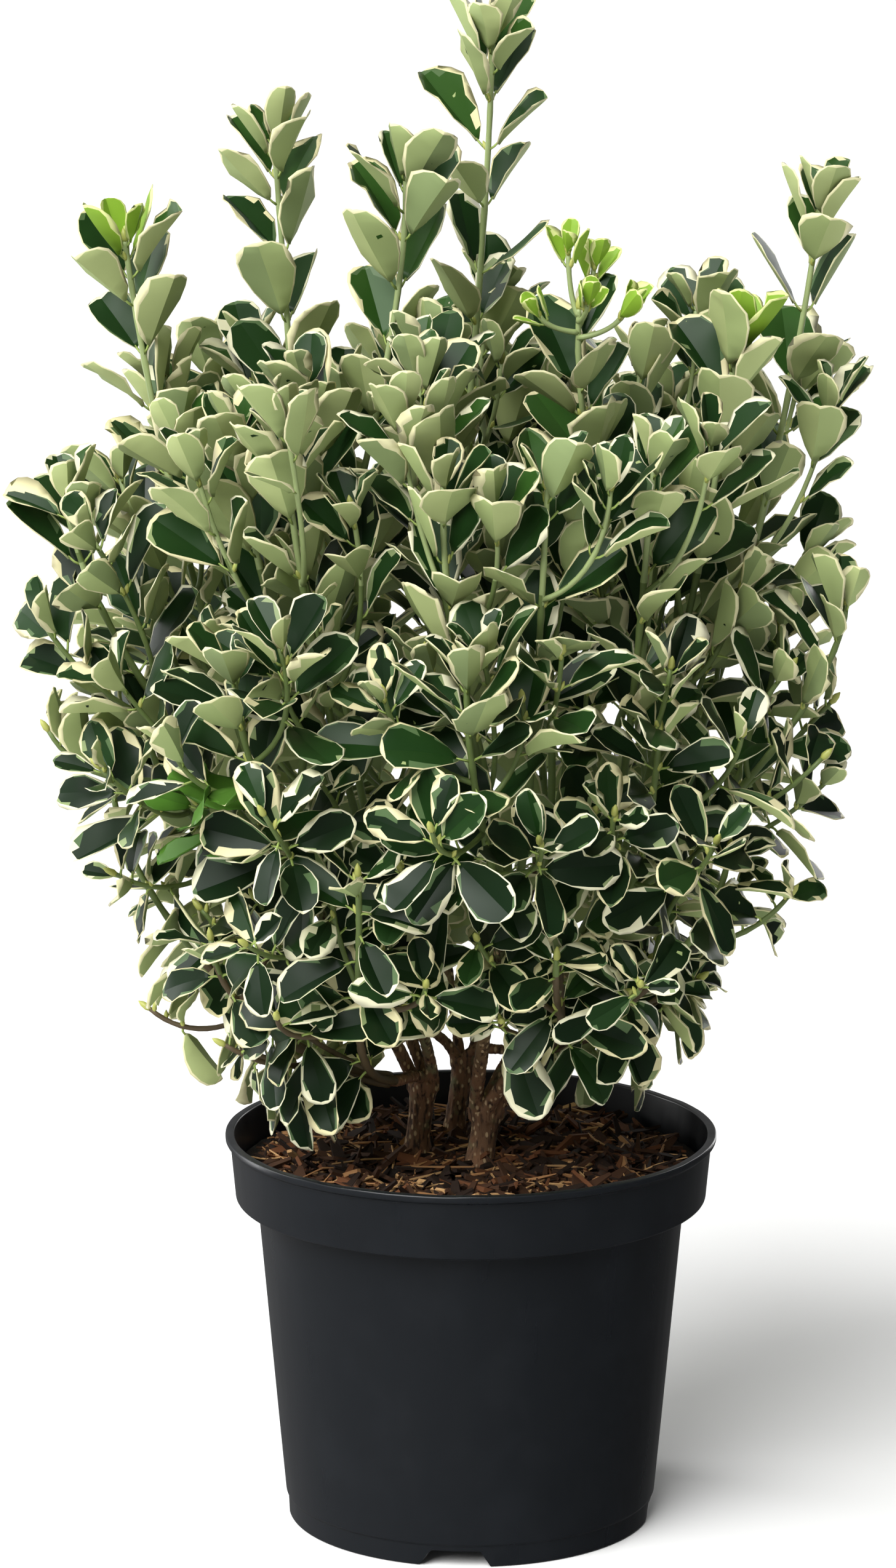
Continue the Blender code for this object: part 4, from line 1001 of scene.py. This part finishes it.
class SPINDLE_OT_shoots(bpy.types.Operator):
    """Grow the green stems, their side twigs and buds"""

    bl_idname = "spindle.shoots"
    bl_label = "Shoots"

    def execute(self, context):
        like, plan, twigs = context.scene.spindle_shoots, mass_plan(), growth().twigs
        finishes = [
            plain_finish("stem_sage", like.sage, 0.5), plain_finish("stem_green", like.green, 0.5),
            plain_finish("stem_brown", like.brown, 0.65), plain_finish("bud_yellow_green", like.bud, 0.45),
        ]
        stem_paths = [
            np.concatenate([mass["path"][:1] - STEM_SUNK * mass["ahead"], mass["path"]]) for mass in plan
        ]
        for name, shoots, paths, sides, foot, tip in (
            ("stems", plan, stem_paths, 9, like.stem_radius, like.tip_radius),
            ("twigs", twigs, [twig["path"] for twig in twigs], 7, like.twig_radius, 0.7 * like.twig_radius),
        ):
            radii = np.array([
                swollen_radii(path, shoot["nodes"], foot, tip) for path, shoot in zip(paths, shoots)
            ])
            points, walls, ends = tubes(np.array(paths), radii, sides)
            middles = points[walls].mean(1)
            height = middles[:, 2] + 0.02 * lattice_noise(middles * 90, 4)
            worn = np.where(height > 0.56, 0, np.where(height > 0.345, 1, 2))
            piece_from(name, points, [(walls, worn), (ends, 1)], finishes)
        self.make_buds(plan + twigs, finishes)
        return {"FINISHED"}

    def make_buds(self, shoots, finishes):
        """Plump pointed buds at the shoots' tips and in the angle of some leaves."""
        chance, buds = np.random.default_rng((SEED, 77)), []
        for shoot in shoots:
            tip, ahead = shoot["path"][-1], unit(shoot["path"][-1] - shoot["path"][-3])
            buds.append((tip - 0.001 * ahead, tip + 0.0075 * ahead))
        for leaf in growth().leaves:
            if chance.random() < 0.28:
                lean = unit(leaf["heel"] - leaf["root"] + 0.004 * UP)
                buds.append((leaf["root"] - 0.0008 * lean, leaf["root"] + 0.0052 * lean))
        feet, heads = np.moveaxis(np.array(buds), 1, 0)
        paths = feet[:, None] + np.array((0.0, 0.3, 0.7, 1.0))[:, None] * (heads - feet)[:, None]
        radii = np.linalg.norm(heads - feet, axis=1)[:, None] * (0.14, 0.26, 0.20, 0.04)
        points, walls, ends = tubes(paths, radii, 6)
        piece_from("buds", points, [(walls, 3), (ends, 3)], finishes)


class SPINDLE_OT_limbs(bpy.types.Operator):
    """Make the trunks and boughs as one skin of bark with smooth forks"""

    bl_idname = "spindle.limbs"
    bl_label = "Woody limbs"

    def execute(self, context):
        like = context.scene.spindle_limbs
        limbs = [
            (trunk_path(trunk, BARK_STEPS), trunk_radii(trunk, BARK_STEPS), 1.12) for trunk in TRUNKS.values()
        ]
        for bough in bough_plan():
            taper = bough["radius"] * np.linspace(1, BOUGH_TAPER, BARK_STEPS + 1) * 1.04
            limbs.append((curve_between(*bough["ends"], BARK_STEPS), taper, 1.0))
        lines = np.array([np.concatenate([[path[0] - LIMB_SUNK * UP], path]) for path, _, _ in limbs])
        sizes = np.array([np.concatenate([[radii[0] * wider], radii]) for _, radii, wider in limbs])
        points, walls, ends = tubes(lines, sizes, 20)
        names = [*TRUNKS, *(bough["name"] for bough in bough_plan())]
        rough = piece_from("bark", points, [(walls, 0), (ends, 0)], [self.finish(like)], names)
        skin = rough.modifiers.new("skin", "REMESH")
        skin.mode, skin.voxel_size, skin.use_smooth_shade = "VOXEL", like.skin, True
        soften = rough.modifiers.new("soften", "SMOOTH")
        soften.factor, soften.iterations = 0.5, 6
        graph = bpy.context.evaluated_depsgraph_get()
        mesh = bpy.data.meshes.new_from_object(rough.evaluated_get(graph))
        rough.modifiers.clear()
        rough.data = mesh
        self.crack(mesh, lines, like)
        mesh.shade_smooth()
        return {"FINISHED"}

    def crack(self, mesh, lines, like):
        """Lifts the skin along its normals by ridged noise that is stretched along the nearest limb."""
        places, normals = np.empty((2, len(mesh.vertices) * 3), np.float32)
        mesh.vertices.foreach_get("co", places)
        mesh.vertices.foreach_get("normal", normals)
        places, normals = places.reshape(-1, 3).astype(float), normals.reshape(-1, 3).astype(float)
        centres, ahead = lines.reshape(-1, 3), directions(lines).reshape(-1, 3)
        nearest = np.concatenate([
            np.linalg.norm(part[:, None] - centres[None], axis=2).argmin(1)
            for part in np.array_split(places, 60)
        ])
        off, limb = places - centres[nearest], nearest // lines.shape[1]
        along, turn = (places * ahead[nearest]).sum(1), np.arctan2(off[:, 1], off[:, 0])
        around = np.stack([np.cos(turn) * 2.1, np.sin(turn) * 2.1], 1)
        ridges = 1 - np.abs(lattice_noise(np.column_stack([around * 1.3, along / 0.013 + 7.3 * limb]), 1)) * 2
        fine = lattice_noise(np.column_stack([around * 2.9, along / 0.004 + 3.1 * limb]), 2)
        depth = like.relief * (0.45 * ridges + 0.40 * fine + 0.30 * lattice_noise(places / 0.008, 3))
        places = places + (depth * np.interp(places[:, 2], (0.25, 0.36), (1.0, 0.35)))[:, None] * normals
        mesh.vertices.foreach_set("co", places.astype(np.float32).reshape(-1))
        mesh.update()

    def finish(self, like):
        """Brown bark with darker cracks, grey-green patches and pale specks, greener high up."""
        nodes = Nodes(bpy.data.materials.new("brown_bark"))
        long = nodes.stretched(0.28)
        broad = nodes.ramp(nodes.noise(120, 4, long), (0.3, 0.0), (0.75, 1.0))
        brown = nodes.blend(broad, like.bark, like.light)
        green = nodes.blend(nodes.ramp(nodes.noise(70, 3), (0.54, 0.0), (0.66, 0.7)), brown, like.lichen)
        place = nodes.add("ShaderNodeSeparateXYZ", {0: nodes.places["Object"]}).outputs
        younger = nodes.blend(nodes.span(place["Z"], 0.26, 0.36), green, like.young)
        cracks = nodes.ramp(nodes.noise(420, 5, long), (0.36, 1.0), (0.50, 0.0))
        dark = nodes.blend(cracks, younger, like.crack)
        cells = nodes.add("ShaderNodeTexVoronoi", {"Scale": 300, "Vector": nodes.stretched(0.55)}).outputs
        specks = nodes.blend(nodes.ramp(cells["Distance"], (0.20, 0.9), (0.30, 0.0)), dark, like.speck)
        grain = nodes.bump(nodes.noise(900, 4, long), 0.0004, 0.7)
        return nodes.finished(Base_Color=specks, Roughness=0.82, Normal=grain)


def rounded(profile, radius, steps=4):
    """A profile with each inner corner replaced by points of a small parabola that touches both its sides."""
    profile = np.array(profile, float)
    found = [profile[:1]]
    t = np.linspace(0, 1, steps + 1)[:, None]
    for before, corner, after in zip(profile, profile[1:], profile[2:]):
        back, on = before - corner, after - corner
        cut = min(radius, 0.45 * np.linalg.norm(back), 0.45 * np.linalg.norm(on))
        start, end = corner + cut * unit(back), corner + cut * unit(on)
        found.append((1 - t) ** 2 * start + 2 * t * (1 - t) * corner + t**2 * end)
    return np.concatenate([*found, profile[-1:]])


class SPINDLE_OT_pot(bpy.types.Operator):
    """Turn the nursery pot with its collar, lip and notched foot"""

    bl_idname = "spindle.pot"
    bl_label = "Pot"

    def execute(self, context):
        like, sides = context.scene.spindle_pot, POT_SIDES
        top, foot, wall = like.height, like.foot_radius, like.wall
        collar, lip = top - like.collar_height, top - like.lip_height
        profile = rounded([
            (0.0, 0.0), (BOSS_RADIUS, 0.0), (BOSS_RADIUS, HOLLOW_FOOT_Z), (foot - RING_WIDTH, HOLLOW_FOOT_Z),
            (foot - RING_WIDTH, 0.0), (foot, 0.0), (foot + 0.0004, 0.012), (like.body_low, 0.0132),
            (like.body_low + 0.25 * (like.body_top - like.body_low), 0.055),
            (like.body_top, collar - COLLAR_SLOPE), (like.collar_low, collar),
            (like.collar_top, lip - 0.0015), (like.rim_radius, lip), (like.rim_radius, top),
            (like.collar_top - wall, top), (like.collar_low - wall, collar + wall),
            (like.body_top - wall, collar - COLLAR_SLOPE + wall), (like.body_low - wall, FLOOR_Z),
            (0.0, FLOOR_Z),
        ], 0.0011)
        turn = np.arange(sides) * TAU / sides
        radius, height = profile[:, :1], profile[:, 1:]
        standing = (radius > foot - RING_WIDTH - 0.0005) & (height < HOLLOW_FOOT_Z - 0.0001)
        at_lip = height > top - 0.0015
        height = np.where(standing, np.maximum(height, self.notch_rise(turn, like)), height + 0 * turn)
        wave = 0.00025 * np.sin(3 * turn + 1.1) + 0.0002 * np.sin(7 * turn)
        radius = radius + wave * np.clip(height / top, 0, 1) * (radius > 0.05)
        dips = lattice_noise(np.stack([np.cos(turn) * 9, np.sin(turn) * 9, 0 * turn], -1), 5)
        height = height + at_lip * 0.00025 * dips - at_lip * 0.0003
        points = np.stack([radius * np.cos(turn), radius * np.sin(turn), height], -1)
        points = np.concatenate([points[1:-1].reshape(-1, 3), points[:1, 0], points[-1:, 0]])
        walls, (low, high) = tube_faces(1, len(profile) - 2, sides)
        middle = np.full(sides, len(points) - 2)
        fans = np.concatenate([
            np.stack([middle, np.roll(low[::-1], -1), low[::-1]], 1),
            np.stack([middle + 1, high, np.roll(high, -1)], 1),
        ])
        groups = [(walls, 0), (fans, 0)]
        made = piece_from("nursery_pot", points, groups, [self.finish(like)], ["pot"])
        made.data.set_sharp_from_angle(angle=math.radians(50))
        return {"FINISHED"}

    def notch_rise(self, turn, like):
        """How high the foot ring's lower edge stands at each turn: four notches with sloping sides."""
        off = np.abs((turn - NOTCH_TURN + TAU / 8) % (TAU / 4) - TAU / 8) * like.foot_radius
        slope = (like.notch_width - NOTCH_TOP) / 2
        return like.notch_height * np.clip((like.notch_width / 2 - off) / slope, 0, 1)

    def finish(self, like):
        """Satin black plastic with faint vertical flow marks, dust and scuffs."""
        nodes = Nodes(bpy.data.materials.new("black_plastic"))
        dust = nodes.ramp(nodes.noise(26, 5), (0.48, 0.0), (0.80, 0.22))
        scuffs = nodes.ramp(nodes.noise(240, 2, nodes.stretched(0.35)), (0.72, 0.0), (0.84, 0.25))
        colour = nodes.blend(scuffs, nodes.blend(dust, like.plastic, like.scuff), like.scuff)
        streaks = nodes.ramp(nodes.noise(60, 3, nodes.stretched(0.08)), (0.3, 0.26), (0.7, 0.36))
        grain = nodes.bump(nodes.noise(420, 3), 0.0002, 0.08)
        return nodes.finished(Base_Color=colour, Roughness=streaks, Normal=grain, Specular_IOR_Level=0.42)


class SPINDLE_OT_mulch(bpy.types.Operator):
    """Lay the bark mulch: an uneven bed, chips of bark and pale splinters"""

    bl_idname = "spindle.mulch"
    bl_label = "Bark mulch"

    def execute(self, context):
        like = context.scene.spindle_mulch
        self.make_bed(like, context.scene.spindle_pot)
        self.make_chips(like, np.random.default_rng((SEED, 5)))
        return {"FINISHED"}

    def surface(self, x, y, like):
        """The height of the bed: nearly flat, falling a little to the wall, with low bumps."""
        reach = np.hypot(x, y)
        flat = np.interp(reach, (0, 0.075, 0.131), (SOIL_Z, SOIL_Z, 0.2050))
        place = np.stack([x, y, 0 * x], -1)
        bumps = 0.6 * lattice_noise(place / 0.016, 7) + 0.4 * lattice_noise(place / 0.006, 8)
        return flat - 0.001 + like.relief * bumps * np.interp(reach, (0.118, 0.131), (1, 0.3))

    def make_bed(self, like, pot):
        """A turned solid that fills the pot, with the uneven surface on top."""
        turn = np.arange(BED_SIDES) * TAU / BED_SIDES
        collar = pot.height - pot.collar_height
        edge = pot.collar_low - BED_WALL + 0.42 * (pot.collar_top - pot.collar_low)
        below = [
            (0.002, BED_FLOOR), (pot.body_low - BED_WALL, BED_FLOOR),
            (pot.body_top - BED_WALL, collar - COLLAR_SLOPE + BED_WALL),
            (pot.collar_low - BED_WALL, collar + BED_WALL), (edge, BED_EDGE_Z),
        ]
        reach = edge * np.linspace(1, 0.012, BED_RINGS) ** 0.9
        x, y = reach[:, None] * np.cos(turn), reach[:, None] * np.sin(turn)
        top = np.stack([x, y, self.surface(x, y, like)], -1)
        low = np.array([[(r * math.cos(a), r * math.sin(a), z) for a in turn] for r, z in below])
        walls, ends = tube_faces(1, len(below) + BED_RINGS, BED_SIDES)
        nodes = Nodes(bpy.data.materials.new("compost_bed"))
        shade = nodes.ramp(nodes.noise(260, 6), (0.35, tuple(like.bed)), (0.72, tuple(like.dark)))
        crumbs = nodes.bump(nodes.noise(700, 5), 0.002, 0.8)
        finish = nodes.finished(Base_Color=shade, Roughness=0.95, Normal=crumbs)
        points = np.concatenate([low, top]).reshape(-1, 3)
        piece_from("compost_bed", points, [(walls, 0), (ends, 0)], [finish], ["compost"])

    def make_chips(self, like, chance):
        """Flat, tapering, slightly bent blocks, strewn at random turns and tilts."""
        count = like.chips + like.slivers
        thin = np.arange(count) >= like.chips
        length = np.where(
            thin, chance.uniform(0.016, 0.040, count), 0.006 + 0.026 * chance.random(count) ** 1.8
        )
        width = np.where(
            thin, chance.uniform(0.0010, 0.0022, count), length * chance.uniform(0.12, 0.36, count)
        )
        thick = np.where(thin, 0.0009, np.minimum(width * chance.uniform(0.2, 0.5, count), 0.0028))
        reach = (0.1285 - 0.46 * length) * np.sqrt(chance.random(count))
        turn, heading = chance.uniform(0, TAU, count), chance.uniform(0, TAU, count)
        x, y = reach * np.cos(turn), reach * np.sin(turn)
        tilt = np.clip(chance.normal(0, 1, count) * np.where(thin, 0.10, 0.36), -0.8, 0.8)
        bank = chance.normal(0, 0.6, count)[:, None]
        lift = self.surface(x, y, like) + 0.0004 + 0.0042 * chance.random(count) ** 1.5
        lift = lift + np.where(thin, 0.0012, 0)
        ahead = np.stack([np.cos(heading) * np.cos(tilt), np.sin(heading) * np.cos(tilt), np.sin(tilt)], -1)
        level = np.stack([-np.sin(heading), np.cos(heading), 0 * heading], -1)
        side = np.cos(bank) * level + np.sin(bank) * np.cross(ahead, level)
        top = np.cross(ahead, side)
        bend = length * chance.uniform(-0.10, 0.10, count)
        rows = []
        for share, narrow in ((-0.5, 0.45), (0.0, 1.0), (0.5, 0.35)):
            middle = np.stack([x, y, lift], -1) + share * length[:, None] * ahead
            middle = middle + (bend * (1 - abs(2 * share)))[:, None] * side
            wide = (width * narrow * chance.uniform(0.7, 1.2, count))[:, None] / 2 * side
            high = (thick * (0.6 + 0.4 * narrow))[:, None] / 2 * top
            rows += [middle - wide - high, middle + wide - high]
            rows += [middle + wide * 0.9 + high, middle - wide * 0.9 + high]
        walls, ends = tube_faces(count, 3, 4)
        draw = chance.random(count)
        cases = [thin & (draw < 0.5), thin, draw < 0.40, draw < 0.76, draw < 0.92, draw < 0.985]
        worn = np.select(cases, [4, 3, 0, 1, 2, 3], 4)
        shades = ("dark", "brown", "red", "tan", "straw")
        finishes = [plain_finish(f"chip_{shade}", getattr(like, shade), 0.85, 0.3) for shade in shades]
        groups = [(walls, np.repeat(worn, 8)), (ends, np.tile(worn, 2))]
        points = np.stack(rows, 1).reshape(-1, 3)
        piece_from("mulch_chips", points, groups, finishes, smooth=False)


class SPINDLE_OT_stage(bpy.types.Operator):
    """Set the pale floor, soft lamps, surroundings and camera"""

    bl_idname = "spindle.stage"
    bl_label = "Stage"

    def execute(self, context):
        like, scene = context.scene.spindle_stage, context.scene
        mesh = bpy.data.meshes.new("floor")
        far, low = like.floor_reach, -0.0003
        corners = [(-far, -far, low), (far, -far, low), (far, far, low), (-far, far, low)]
        mesh.from_pydata(corners, [], [(0, 1, 2, 3)])
        floor = bpy.data.objects.new("floor", mesh)
        scene.collection.objects.link(floor)
        mesh.materials.append(plain_finish("pale_floor", like.floor, 0.9, 0.1))
        floor.visible_glossy = False
        scene.world = self.surroundings(like)
        key = bpy.data.lights.new("key_lamp", "SUN")
        key.energy, key.angle = like.key, like.key_spread
        self.hang(key, (-1.15, -1.75, 2.45))
        for name, place, wide, power in (
            ("left_lamp", (-1.15, 0.55, 0.62), 0.40, like.left),
            ("right_lamp", (0.72, 1.30, 0.62), 0.12, like.right),
        ):
            light = bpy.data.lights.new(name, "AREA")
            light.shape, light.size, light.size_y, light.energy = "RECTANGLE", wide, 1.5, power
            self.hang(light, place)
        lens = bpy.data.cameras.new("camera")
        lens.sensor_width, lens.sensor_fit, lens.lens = 36.0, "AUTO", like.lens
        lens.clip_start, lens.clip_end = 0.05, 50.0
        place, target = (like.across, -like.distance, like.eye), (like.across, 0.0, like.look)
        scene.camera = self.aimed(lens, place, target)
        scene.view_settings.view_transform = "Standard"
        return {"FINISHED"}

    def surroundings(self, like):
        """A world that looks white but lights the plant less, and more from the left, to keep its depth."""
        nodes = Nodes(bpy.data.worlds.new("pale_surroundings"))
        way = nodes.add("ShaderNodeSeparateXYZ", {0: nodes.places["Generated"]}).outputs
        sideways = nodes.span(way["X"], -0.9, 0.7, like.sky * like.sky_left, like.sky * like.sky_right)
        upwards = nodes.span(way["Z"], -0.08, 0.12, like.sky_low, 1.0)
        strength = nodes.add("ShaderNodeMath", {0: sideways, 1: upwards}, operation="MULTIPLY").outputs[0]
        white = (1.0, 1.0, 1.0)
        soft = nodes.fill(nodes.nodes["Background"], {"Color": white, "Strength": strength}).outputs[0]
        seen = nodes.add("ShaderNodeBackground", {"Color": white}).outputs[0]
        by_camera = nodes.add("ShaderNodeLightPath").outputs["Is Camera Ray"]
        mixed = nodes.add("ShaderNodeMixShader", {0: by_camera, 1: soft, 2: seen}).outputs[0]
        nodes.fill(nodes.nodes["World Output"], {"Surface": mixed})
        return nodes.made

    def hang(self, light, place):
        """Hangs a lamp, which the camera can't see, so that it points at the plant's middle."""
        self.aimed(light, place, (0.0, 0.0, 0.42)).visible_camera = False

    def aimed(self, data, place, target):
        """A lamp or camera at a place, turned to face a target and level."""
        made = bpy.data.objects.new(data.name, data)
        back = unit(np.subtract(place, target))
        right = unit(np.cross(UP, back))
        matrix = np.eye(4)
        matrix[:3] = np.column_stack([right, np.cross(back, right), back, place])
        made.matrix_world = Matrix(matrix)
        bpy.context.scene.collection.objects.link(made)
        return made


class VIEW3D_PT_spindle(bpy.types.Panel):
    """Lists the plant's pieces with their settings"""

    bl_label = "Potted Spindle"
    bl_space_type = "VIEW_3D"
    bl_region_type = "UI"
    bl_category = "Spindle"

    def draw(self, context):
        for operator, name, group in PIECES:
            box = self.layout.box()
            box.operator(operator.bl_idname)
            for key in group.__annotations__:
                box.prop(getattr(context.scene, name), key)


PIECES = (
    (SPINDLE_OT_pot, "spindle_pot", PotSettings),
    (SPINDLE_OT_mulch, "spindle_mulch", MulchSettings),
    (SPINDLE_OT_limbs, "spindle_limbs", LimbSettings),
    (SPINDLE_OT_shoots, "spindle_shoots", ShootSettings),
    (SPINDLE_OT_leaves, "spindle_leaves", LeafSettings),
    (SPINDLE_OT_stage, "spindle_stage", StageSettings),
)


def register():
    for operator, name, group in PIECES:
        bpy.utils.register_class(group)
        bpy.utils.register_class(operator)
        setattr(bpy.types.Scene, name, bpy.props.PointerProperty(type=group))
    bpy.utils.register_class(VIEW3D_PT_spindle)


def unregister():
    bpy.utils.unregister_class(VIEW3D_PT_spindle)
    for operator, name, group in reversed(PIECES):
        delattr(bpy.types.Scene, name)
        bpy.utils.unregister_class(operator)
        bpy.utils.unregister_class(group)


def main():
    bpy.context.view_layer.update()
    register()
    bpy.ops.spindle.pot()
    bpy.ops.spindle.mulch()
    bpy.ops.spindle.limbs()
    bpy.ops.spindle.shoots()
    bpy.ops.spindle.leaves()
    bpy.ops.spindle.stage()


if __name__ == "__main__":
    main()
